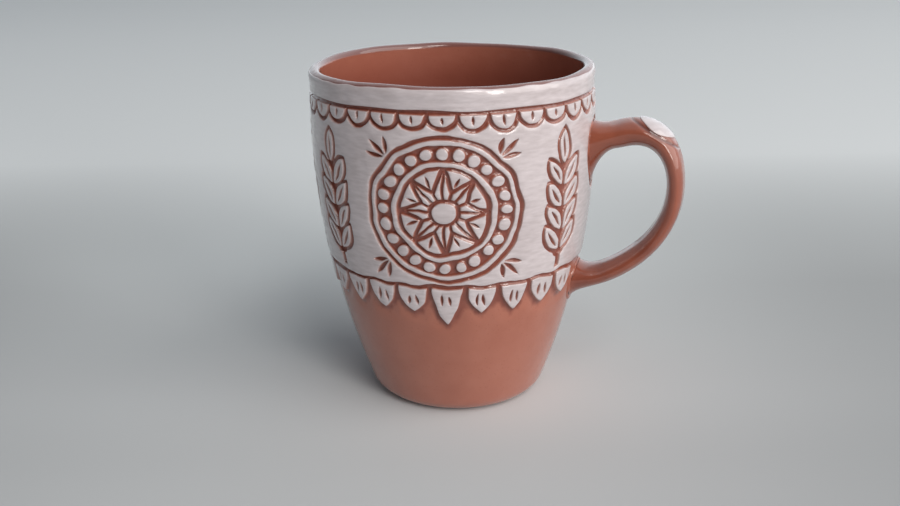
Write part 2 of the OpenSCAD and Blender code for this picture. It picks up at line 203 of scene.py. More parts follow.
# %% [markdown]
# ## Shapes for the carving
# A carved ornament is a drawing first. Curve objects could hold it, but taking one curve out of
# another is awkward. Each flat shape here is a pair: outlines to cut along, and a formula for the
# distance to its edge, which is negative inside. Shapes then combine with `&`, `|` and `-`, and the
# distance tells later how high the slip stands at any place.


# %% Flat shapes that combine
class Shape:
    """Outlines in a plane, and a formula for the distance to the edge, negative inside."""

    def __init__(self, outlines, gap):
        self.outlines, self.gap = outlines, gap

    def with_lines_of(self, other, gap):
        return Shape(self.outlines + other.outlines, gap)

    def __and__(self, other):
        return self.with_lines_of(other, lambda p: np.maximum(self.gap(p), other.gap(p)))

    def __or__(self, other):
        return self.with_lines_of(other, lambda p: np.minimum(self.gap(p), other.gap(p)))

    def __sub__(self, other):
        return self.with_lines_of(other, lambda p: np.maximum(self.gap(p), -other.gap(p)))

    def at(self, x, y, turn=0.0):
        """The shape, turned round its origin and then moved."""
        c, s = math.cos(turn), math.sin(turn)
        spin = np.array([[c, -s], [s, c]])
        outlines = [outline @ spin.T + (x, y) for outline in self.outlines]
        return Shape(outlines, lambda p: self.gap((p - (x, y)) @ spin))


print("a shape can be joined, cut, overlapped, turned and moved")

# %% [markdown]
# ### Round shapes
# A loop tool leaves rounded cuts, so discs and pointed almonds serve for beads, arches, grains and
# strokes. Blender's circle has a set number of corners whatever its size. An arc with a point every
# half millimetre is as fine on a large ring as on a small bead.

# %% Discs and almonds
STEP = 0.5
FEWEST_STEPS = 6


def arc(radius, start, end):
    count = max(FEWEST_STEPS, round(radius * abs(end - start) / STEP))
    angle = np.linspace(start, end, count + 1)
    return radius * np.stack([np.cos(angle), np.sin(angle)], 1)


def disc(radius):
    return Shape([arc(radius, 0, FULL_TURN)], lambda p: np.hypot(p[:, 0], p[:, 1]) - radius)


def almond(length, width):
    """Leaf shape between two arcs, upright, with its lower tip at the origin."""
    side_r = (length**2 + width**2) / (4 * width)
    shift = side_r - width / 2
    half = math.asin(length / 2 / side_r)
    right = arc(side_r, -half, half) + (-shift, length / 2)
    return Shape(
        [right, right * (-1, 1)],
        lambda p: np.hypot(np.abs(p[:, 0]) + shift, p[:, 1] - length / 2) - side_r,
    )


print("a disc of 10 mm has", len(disc(5.0).outlines[0]), "points on its edge")

# %% [markdown]
# ### Straight-sided shapes
# Stems, splits and stars have straight sides. A bar's distance is a short formula. For a polygon,
# the nearest side gives the distance, and counting how often a level line crosses the outline tells
# inside from outside, which works for stars too, where a simple inside test fails.


# %% Bars and polygons
def along(corners):
    """Points on straight stretches between corners, one step apart."""
    points = []
    for a, b in zip(corners[:-1], corners[1:]):
        count = max(1, round(math.dist(a, b) / STEP))
        points += [np.add(a, np.subtract(b, a) * k / count) for k in range(count)]
    return np.array(points + [corners[-1]])


def bar(width, low, high):
    half = width / 2
    ring = [(-half, low), (half, low), (half, high), (-half, high), (-half, low)]
    return Shape(
        [along(ring)],
        lambda p: np.maximum(np.abs(p[:, 0]) - half, np.maximum(low - p[:, 1], p[:, 1] - high)),
    )


def polygon(corners):
    start = np.array(corners, float)
    side = np.roll(start, -1, 0) - start

    def gap(p):
        apart = p[:, None] - start
        share = np.clip((apart * side).sum(2) / (side * side).sum(1), 0, 1)
        away = np.hypot(*np.moveaxis(apart - share[..., None] * side, 2, 0)).min(1)
        x, y = apart[..., 0], apart[..., 1]
        rises = (y < 0) != (y < side[:, 1])
        left = x * side[:, 1] - y * side[:, 0]
        crossed = rises & ((left < 0) == (side[:, 1] > 0))
        return np.where(crossed.sum(1) % 2 == 1, -away, away)

    return Shape([along([*corners, corners[0]])], gap)


print("a bar of 2 by 10 mm has", len(bar(2.0, 0.0, 10.0).outlines[0]), "points on its edge")

# %% [markdown]
# ## The drawing
# The ornament is a generic one: star medallions in a beaded ring, ears of wheat between them, a
# border of arches under the lip and a hem of hanging points. A painted picture could be wrapped
# round the wall, but it would have no depth. So each island of slip is a shape, placed at an angle
# round the mug and a height, and the heights come from the frame, so it fits the solids.

# %% Heights of the ornament
LINE_W = 1.2
BAND_LOW = span("lip_band")[0][2]
ARCH_TOP = span("border_arches")[1][2]
ARCH_R = ARCH_TOP - span("border_arches")[0][2]
GROUND_LOW = span("slip_ground")[0][2]
GROUND_TOP = ARCH_TOP - LINE_W
FIELD_H = ARCH_TOP - ARCH_R - LINE_W - GROUND_LOW
HEM_TOP = span("hem_points")[1][2]
LONG_POINT = HEM_TOP - span("hem_points")[0][2]
POINT_COUNT = 25
POINT_STEP = FULL_TURN / POINT_COUNT
POINTS_PER_MEDALLION = 7
MEDALLION_STEP = POINTS_PER_MEDALLION * POINT_STEP
OPPOSITE = math.pi
print(f"field {FIELD_H:.1f} mm high, from {GROUND_LOW:.1f} mm up")

# %% [markdown]
# ### Arches under the lip
# A row of half rounds hangs under the lip, each with one tapered stroke from the corner of the
# tool. An array modifier would make them all alike. A loop with small random shifts, turns and
# sizes makes them hand drawn, and the seed keeps every run the same. `island` notes slip that
# stays, and `cut` notes what is carved from the ground round it.

# %% Border of arches
draw = np.random.default_rng(7)
islands = []
cutters = []


def jitter(size):
    return float(draw.uniform(-size, size))


def island(node, facing, z, shape):
    islands.append((node, facing, z, shape))


def cut(facing, z, shape):
    cutters.append((facing, z, shape))


ARCH_COUNT, ARCH_R_OFF = 32, 0.03
STROKE_LEN, STROKE_W, STROKE_LOW = 2.3, 0.75, -2.6
STROKE_LEN_OFF, STROKE_PLACE_OFF, STROKE_TURN_OFF = 0.3, 0.2, 0.08
below_line = Shape([along([(-2 * ARCH_R, 0), (2 * ARCH_R, 0)])], lambda p: p[:, 1])
for i in range(ARCH_COUNT):
    facing = FULL_TURN * i / ARCH_COUNT
    radius = ARCH_R * (1 + jitter(ARCH_R_OFF))
    stroke = almond(STROKE_LEN + jitter(STROKE_LEN_OFF), STROKE_W)
    aside, up = jitter(STROKE_PLACE_OFF), STROKE_LOW + jitter(STROKE_PLACE_OFF)
    stroke = stroke.at(aside, up, jitter(STROKE_TURN_OFF))
    island("border_arches", facing, ARCH_TOP, (disc(radius) & below_line) - stroke)
    cut(facing, ARCH_TOP, disc(radius + LINE_W))
print(len(islands), "arches,", f"{2 * ARCH_R:.1f} mm wide")

# %% [markdown]
# ### Hem of hanging points
# The white field ends in pointed flaps, longer under each medallion, and none under the handle.
# Drawing one outline all round would be one long curve to keep in order. The lower half of an
# almond is already such a flap, and two strokes are cut out of each.

# %% Hem points
POINT_LEN, LAST_POINT = 8.0, 11
POINT_W = 2 * bow_at(BOW_R, HEM_TOP - POINT_LEN) * math.sin(POINT_STEP / 2) - LINE_W
POINT_LEN_OFF, POINT_W_OFF, POINT_PLACE_OFF = 0.03, 0.025, 0.12
NICK_LEN, NICK_W, NICK_ASIDE, NICK_LOW, NICK_TURN = 3.4, 0.8, 1.25, -5.4, 0.09
NICK_LEN_OFF, NICK_PLACE_OFF = 0.5, 0.15
for i in range(-LAST_POINT, LAST_POINT + 1):
    length = LONG_POINT if i % POINTS_PER_MEDALLION == 0 else POINT_LEN
    length *= 1 + jitter(POINT_LEN_OFF)
    flap = almond(2 * length, POINT_W * (1 + jitter(POINT_W_OFF)))
    flap = flap.at(jitter(POINT_PLACE_OFF), -length)
    for side in (-1, 1):
        nick = almond(NICK_LEN + jitter(NICK_LEN_OFF), NICK_W)
        flap = flap - nick.at(side * NICK_ASIDE + jitter(NICK_PLACE_OFF), NICK_LOW, side * NICK_TURN)
    island("hem_points", OPPOSITE + i * POINT_STEP, HEM_TOP, flap & below_line)
print(2 * LAST_POINT + 1, "hem points,", f"{POINT_W:.1f} mm wide")

# %% [markdown]
# ### Ears of wheat
# An ear is a carved stem with leaning pairs of grains and one grain on top, each creased down its
# middle. A copied leaf mesh would lie on the slip like a sticker. Here a larger almond is cut from
# the ground, and a smaller one with a crease is left standing in it, which leaves a carved line
# round each grain. The sizes are shares of the field's height or of the grain's length.

# %% Ears of wheat
GRAIN_SHARE, STEM_LOW_SHARE, STEM_SHARE, EAR_TOP_SHARE = 0.215, 0.032, 0.118, 0.043
GRAIN_W_SHARE, GRAIN_LINE_SHARE, STEM_W_SHARE, GRAIN_FOOT_SHARE = 0.42, 0.12, 0.2, 0.2
GRAIN_LEN = GRAIN_SHARE * FIELD_H
GRAIN_W = GRAIN_W_SHARE * GRAIN_LEN
GRAIN_LINE = GRAIN_LINE_SHARE * GRAIN_LEN
STEM_W = STEM_W_SHARE * GRAIN_LEN
STEM_LOW = STEM_LOW_SHARE * FIELD_H
GRAIN_START = STEM_LOW + STEM_SHARE * FIELD_H
GRAIN_PAIRS, GRAIN_LEAN = 4, math.radians(36)
GRAIN_STEP = (FIELD_H - EAR_TOP_SHARE * FIELD_H - GRAIN_START - GRAIN_LEN) / GRAIN_PAIRS
GRAIN_LEAN_OFF, GRAIN_LEN_OFF = 0.035, 0.025
CREASE_SHARE, CREASE_START, CREASE_W, CREASE_OFF, CREASE_TURN_OFF = 0.62, 0.16, 0.85, 0.1, 0.03
EAR_PLACES = (-1.5, -0.5, 0.5, 1.5)
grain_feet = [(0.0, GRAIN_PAIRS, 0.0)]
grain_feet += [(side, k, -side * GRAIN_LEAN) for k in range(GRAIN_PAIRS) for side in (-1, 1)]
for i in EAR_PLACES:
    facing = OPPOSITE + i * MEDALLION_STEP
    for side, k, lean in grain_feet:
        x, z = side * GRAIN_LINE / 2, GRAIN_START + k * GRAIN_STEP
        lean += jitter(GRAIN_LEAN_OFF)
        length = GRAIN_LEN * (1 + jitter(GRAIN_LEN_OFF))
        crease = almond(CREASE_SHARE * length, CREASE_W)
        crease = crease.at(jitter(CREASE_OFF), CREASE_START * length, jitter(CREASE_TURN_OFF))
        grain = (almond(length, GRAIN_W) - crease).at(x, z, lean)
        island("wheat_grains", facing, GROUND_LOW, grain)
        grown = almond(length + 2 * GRAIN_LINE, GRAIN_W + 2 * GRAIN_LINE).at(0, -GRAIN_LINE)
        cut(facing, GROUND_LOW, (grown | disc(GRAIN_FOOT_SHARE * GRAIN_LEN)).at(x, z, lean))
    cut(facing, GROUND_LOW, bar(STEM_W, STEM_LOW, GRAIN_START + GRAIN_PAIRS * GRAIN_STEP))
print(len(EAR_PLACES), "ears with", len(grain_feet), f"grains of {GRAIN_LEN:.1f} mm each")

# %% [markdown]
# ### Sizes in a star medallion
# A medallion is two plain rings with a row of beads between them, and an eight-pointed star round a
# boss. A potter marks it out from the middle with dividers. Its sizes could be set one by one, but
# as shares of the medallion's radius they match the CAD model's and always add up.

# %% Radii in a medallion
MEDALLION_Z = GROUND_LOW + FIELD_H / 2
MEDALLION_CLEAR = 0.7
MEDALLION_R = FIELD_H / 2 - MEDALLION_CLEAR
LINE_SHARE, RING_SHARE, BEAD_SHARE, BEAD_CLEAR_SHARE = 0.053, 0.062, 0.075, 0.031
TIP_CLEAR_SHARE, VALLEY_SHARE, SPLIT_SHARE, BOSS_SHARE = 0.088, 0.257, 0.035, 0.1415
MEDALLION_LINE = LINE_SHARE * MEDALLION_R
RING_W = RING_SHARE * MEDALLION_R
BEAD_R = BEAD_SHARE * MEDALLION_R
BEAD_ROOM = 2 * BEAD_R + 2 * BEAD_CLEAR_SHARE * MEDALLION_R
OUTER_RING_R = MEDALLION_R - MEDALLION_LINE
BEAD_RING_R = OUTER_RING_R - RING_W - BEAD_ROOM / 2
INNER_RING_R = BEAD_RING_R - BEAD_ROOM / 2
STAR_FIELD_R = INNER_RING_R - RING_W - MEDALLION_LINE
TIP_R = INNER_RING_R - RING_W - TIP_CLEAR_SHARE * MEDALLION_R
VALLEY_R = VALLEY_SHARE * MEDALLION_R
SPLIT_W = SPLIT_SHARE * MEDALLION_R
BOSS_R = BOSS_SHARE * MEDALLION_R
print(f"medallions {2 * MEDALLION_R:.1f} mm across, stars {2 * TIP_R:.1f} mm")

# %% [markdown]
# ### Star medallions
# Eight splits part the star into half points, as crossing strokes of the tool do, and the field
# round the star is left as eight valleys with a stroke in each. All of it could be drawn corner by
# corner. Taking one shape from another needs only the star, discs and bars.

# %% Rings, beads and stars
STAR_COUNT, BEAD_COUNT = 8, 24
half_point = math.pi / STAR_COUNT
valley_side = VALLEY_R * math.sin(half_point)
edge_len = math.hypot(TIP_R - VALLEY_R * math.cos(half_point), valley_side)
STAR_GROWN = 1 + MEDALLION_LINE * edge_len / (TIP_R * valley_side)
RING_OFF, BEAD_TURN_OFF, BEAD_FAR_OFF, BEAD_R_OFF = 0.1, 0.012, 0.12, 0.05
RAY_LEN, RAY_W, RAY_IN = 3.3, 0.8, 4.3
RAY_TURN_OFF, RAY_LEN_OFF, RAY_FAR_OFF = 0.04, 0.4, 0.2
MEDALLION_PLACES = (-1, 0, 1)


def star(grow):
    corners = []
    for k in range(2 * STAR_COUNT):
        radius = grow * (VALLEY_R if k % 2 else TIP_R)
        corners.append((-radius * math.sin(k * half_point), radius * math.cos(k * half_point)))
    return polygon(corners)


for i in MEDALLION_PLACES:
    facing = OPPOSITE + i * MEDALLION_STEP
    cut(facing, MEDALLION_Z, disc(MEDALLION_R))
    for outer in (OUTER_RING_R, INNER_RING_R):
        ring = disc(outer) - disc(outer - RING_W)
        island("medallion_rings", facing, MEDALLION_Z, ring.at(jitter(RING_OFF), jitter(RING_OFF)))
    for k in range(BEAD_COUNT):
        angle = FULL_TURN * k / BEAD_COUNT + jitter(BEAD_TURN_OFF)
        far = BEAD_RING_R + jitter(BEAD_FAR_OFF)
        bead = disc(BEAD_R * (1 + jitter(BEAD_R_OFF)))
        bead = bead.at(far * math.cos(angle), far * math.sin(angle))
        island("medallion_beads", facing, MEDALLION_Z, bead)
    valleys = disc(STAR_FIELD_R) - star(STAR_GROWN)
    halves = star(1) - disc(BOSS_R + MEDALLION_LINE)
    for k in range(STAR_COUNT):
        angle = (k + 0.5) * 2 * half_point + jitter(RAY_TURN_OFF)
        stroke = almond(RAY_LEN + jitter(RAY_LEN_OFF), RAY_W)
        stroke = stroke.at(0, STAR_FIELD_R - RAY_IN + jitter(RAY_FAR_OFF))
        valleys = valleys - stroke.at(0, 0, angle)
        halves = halves - bar(SPLIT_W, -TIP_R, TIP_R).at(0, 0, k * half_point)
    island("star_valleys", facing, MEDALLION_Z, valleys)
    island("star_points", facing, MEDALLION_Z, halves)
    island("star_bosses", facing, MEDALLION_Z, disc(BOSS_R))
print(len(MEDALLION_PLACES), "medallions,", len(islands), "islands so far")

# %% [markdown]
# ### Sprigs
# Three short leaves are cut straight into the ground at each corner of a medallion. They are bare
# clay, so nothing stands in them and a cut is enough. Bump in the material could fake them, but
# a real cut catches the light along its edges.

# %% Sprigs round the medallions
SPRIG_X, SPRIG_Z, SPRIG_GAP = 15.6, 15.4, 1.1
SPRIG_LEAF, SPRIG_MIDDLE_LEAF, SPRIG_LEAF_W, SPRIG_FAN = 4.6, 5.6, 1.25, 0.62
SPRIG_LEN_OFF, SPRIG_TURN_OFF = 0.3, 0.06
before = len(cutters)
for i in MEDALLION_PLACES:
    for right_left in (-1, 1):
        for up_down in (-1, 1):
            out = math.atan2(-right_left * SPRIG_X, up_down * SPRIG_Z)
            for k in (-1, 0, 1):
                length = SPRIG_LEAF if k else SPRIG_MIDDLE_LEAF
                leaf = almond(length + jitter(SPRIG_LEN_OFF), SPRIG_LEAF_W).at(0, SPRIG_GAP)
                turn = out + k * SPRIG_FAN + jitter(SPRIG_TURN_OFF)
                leaf = leaf.at(right_left * SPRIG_X, up_down * SPRIG_Z, turn)
                cut(OPPOSITE + i * MEDALLION_STEP, MEDALLION_Z, leaf)
print(len(cutters) - before, "leaves in sprigs")

# %% [markdown]
# ### Bare clay round the handle's roots
# Slip is wiped away where the handle joins the wall. The wiped place follows the drop shape of the
# root. A hole could be cut in the finished mesh, but as one more cut in the drawing it gets the
# same rounded edge as the rest.

# %% Bare clay round the roots
ROOTS = {"upper": (17.0, 19.5, 80.0, 0.45), "lower": (15.0, 12.5, 38.5, 0.1)}
JOINT_T, JOINT_BEAD, ROOT_BARE, ROOT_CORNERS = 0.5, 0.6, 0.7, 48


def root_outline(root, grow, angle):
    """Drop-shaped outline of a root on the wall; angle 0 is its top."""
    width, length, z, tail = root
    narrow = 1 - tail * (1 - np.cos(angle)) / 2
    across = (width / 2 + grow) * np.sin(angle) * narrow
    return np.stack([across, z + (length / 2 + grow) * np.cos(angle)], 1)


root_angles = np.linspace(0, FULL_TURN, ROOT_CORNERS, endpoint=False)
for root in ROOTS.values():
    bare = root_outline(root, JOINT_BEAD + ROOT_BARE, root_angles)
    cut(0.0, 0.0, polygon([tuple(point) for point in bare]))
print(len(islands), "islands,", len(cutters), "cuts")

# %% [markdown]
# ## The unrolled wall
# The carved wall is worked like a paper label: one axis runs round the mug, the other up it and a
# little over the lip. Nothing that a hand does is quite straight, so the label needs soft ripples.
# A flat noise could give them, but it would not meet itself at the seam. A sum of sine waves with
# whole counts round the mug does.

# %% The label and its ripples
CHART_R = 42.0
SEAM = math.radians(16.875)
LIP_OVER = math.radians(80)
CHART_LOW, CHART_TOP = 31.0, LIP_Z + LIP_HALF * LIP_OVER
WAVE_COUNT, WAVE_SPREAD, WAVE_SUM = 10, (0.7, 1.6), 3


def waves(turn, z, seed, size):
    """Smooth random ripple of about the given length in millimetres, which meets itself."""
    pick = np.random.default_rng(seed)
    total = 0
    for _ in range(WAVE_COUNT):
        heading, phase = pick.uniform(0, math.pi), pick.uniform(0, FULL_TURN)
        length = size * pick.uniform(*WAVE_SPREAD)
        across = round(FULL_TURN * CHART_R * math.cos(heading) / length)
        total = total + np.sin(across * turn + FULL_TURN * math.sin(heading) / length * z + phase)
    return total / WAVE_SUM


print(f"label {FULL_TURN * CHART_R:.0f} by {CHART_TOP - CHART_LOW:.0f} mm")

# %% [markdown]
# ### Edges of the brushed bands
# The brush leaves an edge that wanders: above the border, over the lip and at the hem line. It
# could be a straight ring, which looks machine made. Each edge is a height with its own ripple, and
# over the lip the slip falls a little short on one side.

# %% Edges of the bands of slip
SLIP_OVER = LIP_Z + LIP_HALF * math.radians(42)
SLIP_SHORT, SHORT_AT = 0.35, math.radians(200)
BAND_LOW_WAVE, SLIP_OVER_WAVE, GROUND_LOW_WAVE = (0.12, 21, 14), (0.18, 22, 9), (0.15, 23, 12)


def wander(turn, wave):
    """Ripple along an edge; a wave is its height, its seed and its length."""
    high, seed, length = wave
    return high * waves(turn, 0, seed, length)


def band_edges(turn):
    """Heights of the lip band's lower edge, of the slip over the lip, and of the hem line."""
    short = SLIP_SHORT * np.cos(turn - SHORT_AT).clip(0)
    return [
        BAND_LOW + wander(turn, BAND_LOW_WAVE),
        SLIP_OVER - short + wander(turn, SLIP_OVER_WAVE),
        GROUND_LOW + wander(turn, GROUND_LOW_WAVE),
    ]


lowest = [edge.min() for edge in band_edges(degrees)]
print("edges of slip come down to", ", ".join(f"{z:.1f}" for z in lowest), "mm")

# %% [markdown]
# ### How far it is to the edge of the slip
# The tool takes clay between two edges of slip, and the slip itself is rounded near its edge, so
# both heights follow from the distance to the nearest edge. It could be painted as weights by hand.
# Here each point of the label asks all shapes near it, and the nearest one owns it.

# %% Distance to the nearest edge of slip
NEAR, NARROWEST_R = 2, 32
NODES = sorted({node for node, *_ in islands} | {"slip_ground", "lip_band"})


def window(facing, z, shape, turn, height):
    """Indexes of the points near a shape, and their places in the shape's own plane."""
    extent = np.concatenate(shape.outlines)
    wide = np.abs(extent[:, 0]).max() + NEAR
    low, high = extent[:, 1].min() - NEAR, extent[:, 1].max() + NEAR
    swing = (turn - facing + math.pi) % FULL_TURN - math.pi
    beside = np.abs(swing) < math.asin(min(1, wide / NARROWEST_R))
    near = np.flatnonzero(beside & (height > z + low) & (height < z + high))
    return near, np.stack([bow_at(BOW_R, height[near]) * np.sin(swing[near]), height[near] - z], 1)


def measure(chart):
    """Signed distance to the nearest edge of slip, and which node that island belongs to."""
    turn, z = chart[:, 0] / CHART_R, chart[:, 1]
    band_low, band_top, ground_low = band_edges(turn)
    ground = np.maximum(ground_low - z, z - GROUND_TOP)
    for facing, at, shape in cutters:
        near, local = window(facing, at, shape, turn, z)
        ground[near] = np.maximum(ground[near], -shape.gap(local))
    found = [("slip_ground", np.arange(len(chart)), ground)]
    for node, facing, at, shape in islands:
        near, local = window(facing, at, shape, turn, z)
        found.append((node, near, shape.gap(local)))
    gap = np.maximum(band_low - z, z - band_top)
    owner = np.full(len(chart), NODES.index("lip_band"))
    for node, near, own in found:
        closer = own < gap[near]
        gap[near[closer]] = own[closer]
        owner[near[closer]] = NODES.index(node)
    return gap, owner


print("slip in", len(NODES), "nodes")

# %% [markdown]
# ### Lines that the mesh has to keep
# A carved edge is crisp, so the mesh needs an edge along every outline, and copies a little further
# in or out where a profile bends. A fine grid with a displacement modifier would need far more
# faces for edges as crisp. Only stretches of an outline that really are an edge of slip are kept.

# %% Lines of the label
COLUMNS, RAIL_POINTS = 240, 61
SEAM_X = (SEAM * CHART_R, (SEAM + FULL_TURN) * CHART_R)
NO_LENGTH = 1e-9


def outline_chains():
    """Every outline of the drawing as points of the label, once more across the seam if needed."""
    whole = SEAM_X[1] - SEAM_X[0]
    turn = np.linspace(SEAM, SEAM + FULL_TURN, round(whole / STEP))
    edges = [*band_edges(turn), 0 * turn + GROUND_TOP]
    chains = [np.stack([turn * CHART_R, edge], 1) for edge in edges]
    for facing, z, shape in [entry[-3:] for entry in islands] + cutters:
        for outline in shape.outlines:
            height = outline[:, 1] + z
            swing = np.arcsin(np.clip(outline[:, 0] / bow_at(BOW_R, height), -1, 1))
            x = (facing + swing) * CHART_R
            x -= whole * math.floor(((x.min() + x.max()) / 2 - SEAM_X[0]) / whole)
            for copy in (x - whole, x, x + whole):
                if copy.max() > SEAM_X[0] and copy.min() < SEAM_X[1]:
                    chains.append(np.stack([copy, height], 1))
    return chains


def offset(chain, by):
    way = np.gradient(chain, axis=0)
    normal = np.stack([way[:, 1], -way[:, 0]], 1)
    return chain + by * normal / np.maximum(np.hypot(*normal.T), NO_LENGTH)[:, None]


def border_lines():
    """The label's lower and upper edge, and its two ends, which meet at the seam."""
    row = np.linspace(*SEAM_X, COLUMNS + 1)
    rail = np.linspace(CHART_LOW, CHART_TOP, RAIL_POINTS)
    level = [np.stack([row, 0 * row + z], 1) for z in (CHART_LOW, CHART_TOP)]
    return level + [np.stack([0 * rail + x, rail], 1) for x in SEAM_X]


print(len(outline_chains()), "outlines on the label")

# %% [markdown]
# ### Triangles of the label
# The label has two layers of triangles: one for the slip and one for the clay under it. Both come
# from a constrained Delaunay triangulation, which joins scattered points with well-shaped
# triangles and keeps given lines as edges. Cutting a grid with boolean modifiers would be slower
# and leave slivers.

# %% Triangulate the label
OUTLINE_LOOSE, COPY_LOOSE, SAME_POINT = 0.5, 0.08, 1e-5


def keep_line(points, edges, line, good):
    """Add the stretches of a line between neighbouring good points."""
    pair = np.flatnonzero(good[:-1] & good[1:])
    used = np.unique(np.concatenate([pair, pair + 1]))
    place = {int(i): len(points) + k for k, i in enumerate(used)}
    edges += [(place[int(i)], place[int(i) + 1]) for i in pair]
    points += line[used].tolist()


def scattered(fill, keep_fill):
    """Points in staggered rows, where their distance to the edge of slip suits."""
    across = np.arange(SEAM_X[0] + fill, SEAM_X[1], fill)
    x, y = np.meshgrid(across, np.arange(CHART_LOW + fill, CHART_TOP, fill))
    x[::2] += fill / 2
    grid = np.stack([x.ravel(), y.ravel()], 1)
    grid = grid[grid[:, 0] < SEAM_X[1] - fill / 2]
    return grid[keep_fill(measure(grid)[0])].tolist()


def triangulate(levels, fill, keep_fill):
    """Triangles of the label with edges along the given distances from the slip's outlines."""
    chains = [(0.0, OUTLINE_LOOSE, chain) for chain in outline_chains()]
    for *_, chain in list(chains):
        for level in levels:
            chains += [(level, COPY_LOOSE, offset(chain, sign * level)) for sign in (-1, 1)]
    gap, _ = measure(np.concatenate([chain for *_, chain in chains]))
    points, edges = [], []
    for border in border_lines():
        keep_line(points, edges, border, np.ones(len(border), bool))
    start = 0
    for level, loose, chain in chains:
        own = gap[start : start + len(chain)]
        start += len(chain)
        keep_line(points, edges, chain, (np.abs(own - level) < loose) & (chain[:, 1] < CHART_TOP))
    points += scattered(fill, keep_fill)
    made = delaunay_2d_cdt([Vector(point) for point in points], edges, [], 0, SAME_POINT)
    vertices = np.array([tuple(vertex) for vertex in made[0]])
    triangles = np.array(made[2])
    middle = vertices[triangles].mean(1)
    inside = (middle[:, 0] > SEAM_X[0]) & (middle[:, 0] < SEAM_X[1])
    return vertices, triangles[inside], middle[inside]


CLAY_LEVELS, CLAY_FILL, CLAY_CLEAR = [0.3], 1.6, 0.7
clay_flat, clay_faces, _ = triangulate(
    CLAY_LEVELS, CLAY_FILL, lambda gap: np.abs(gap) > CLAY_CLEAR
)
print("clay layer:", len(clay_faces), "triangles")

# %% [markdown]
# ### Wrap the label
# The hand that draws is never quite steady, so the flat drawing is pushed about by a slow ripple of
# a quarter of a millimetre and a finer, ragged one. Then it is bent round the wall and over the
# lip. A curve modifier could bend it too, but it would not follow the bow of the wall.

# %% Wrap points of the label round the mug
UNSTEADY, UNSTEADY_LEN, RAGGED, RAGGED_LEN = 0.25, 9, 0.05, 3.6
ASIDE_SEEDS, UPWARD_SEEDS = (31, 33), (32, 34)
CALM_LOW, CALM_TOP = 4, (96, 99)


def smooth(low, high, value):
    share = np.clip((value - low) / (high - low), 0, 1)
    return share * share * (3 - 2 * share)


def unsteady(turn, z, seeds):
    slow = UNSTEADY * waves(turn, z, seeds[0], UNSTEADY_LEN)
    return slow + RAGGED * waves(turn, z, seeds[1], RAGGED_LEN)


def wrap(chart, lift):
    """Points of the label on the mug, raised by lift; its lower edge and the lip stay calm."""
    turn, z = chart[:, 0] / CHART_R, chart[:, 1]
    calm = smooth(CHART_LOW, CHART_LOW + CALM_LOW, z) * (1 - smooth(*CALM_TOP, z))
    turn_to = turn + calm * unsteady(turn, z, ASIDE_SEEDS) / CHART_R
    z_to = z + calm * unsteady(turn, z, UPWARD_SEEDS)
    over = np.clip(z_to - LIP_Z, 0, None) / LIP_HALF
    low = outside_at(np.minimum(z_to, LIP_Z)) + lift
    radius = np.where(over > 0, LIP_R + (LIP_HALF + lift) * np.cos(over), low)
    height = np.where(over > 0, LIP_Z + (LIP_HALF + lift) * np.sin(over), z_to)
    return by_hand(on_cylinder(turn_to, radius, height))


bare_wall = wrap(clay_flat, 0 * clay_flat[:, 0])
print(f"wrapped wall {bare_wall[:, 2].min():.1f} to {bare_wall[:, 2].max():.1f} mm high")

# %% [markdown]
# ## The thrown cup
# The carved band of the cup is the clay layer of the label. A groove is a rounded gouge between two
# edges of slip, with the chatter of the tool along it, and below the hem the clay is pared back in
# a shallow hollow that runs out into the wall. A boolean with a swept tool could carve each groove,
# but the distance to the slip gives all of them at once.

# %% Carved band of the cup
GROOVE_DEEP, GROOVE_HALF, EDGE_DEEP = 0.42, 0.6, 0.06
HOLLOW_START, HOLLOW_END = 0.9, 4.5
CHATTER, CHATTER_SEED, CHATTER_LEN = 0.12, 41, 2.5
ENDS_FADE = 1.0


def gouge(gap, turn, z):
    """Depth of the carving at a distance from the slip."""
    round_bottom = np.sqrt(1 - (1 - np.clip(gap / GROOVE_HALF, 0, 1)) ** 2)
    runs_out = 1 - smooth(HOLLOW_START, HOLLOW_END, gap)
    chatter = 1 + CHATTER * waves(turn, z, CHATTER_SEED, CHATTER_LEN)
    ends = (1 - smooth(LIP_Z - ENDS_FADE, LIP_Z, z)) * smooth(0, ENDS_FADE, z - CHART_LOW)
    return (EDGE_DEEP + GROOVE_DEEP * round_bottom * chatter) * runs_out * ends * (gap > 0)


clay_gap, _ = measure(clay_flat)
clay_depth = gouge(clay_gap, clay_flat[:, 0] / CHART_R, clay_flat[:, 1])
band_points = wrap(clay_flat, -clay_depth)
print(f"carved band: deepest groove {clay_depth.max():.2f} mm")

# %% [markdown]
# ### Profiles of the inside and the foot
# The wheel makes a turned form, so the inside, the lip and the foot are profiles that are spun
# round the axis. A screw modifier can spin a curve, but the rows of points have to meet the carved
# band exactly, so they are made here. Floor and wall meet in rounded corners, as fingers leave them.

# %% Profiles
WALL_T, FLOOR_T, OPENING_H = 4.0, 6.5, 14.0
INSIDE_ROUND, FOOT_ROUND, ROUND_POINTS = 10.0, 7.0, 14
CONE_POINTS, LIP_POINTS, FLOOR_POINTS, BOTTOM_POINTS = 12, 20, 12, 10
INSIDE_STEP, OUTSIDE_STEP = 1.6, 1.2


def rounding(radius, level, bow):
    """Arc that joins a level line and the bow of the wall, from the level line upwards."""
    middle = np.array([bow_at(bow - radius, level + radius), level + radius])
    way = middle - (BOW_X, WIDEST_H)
    angle = np.linspace(-math.pi / 2, math.atan2(way[1], way[0]), ROUND_POINTS)
    return middle + radius * np.stack([np.cos(angle), np.sin(angle)], 1)


def profile_wall(bow, low, high, step):
    z = np.linspace(low, high, max(2, round((high - low) / step)))
    return np.stack([bow_at(bow, z), z], 1)


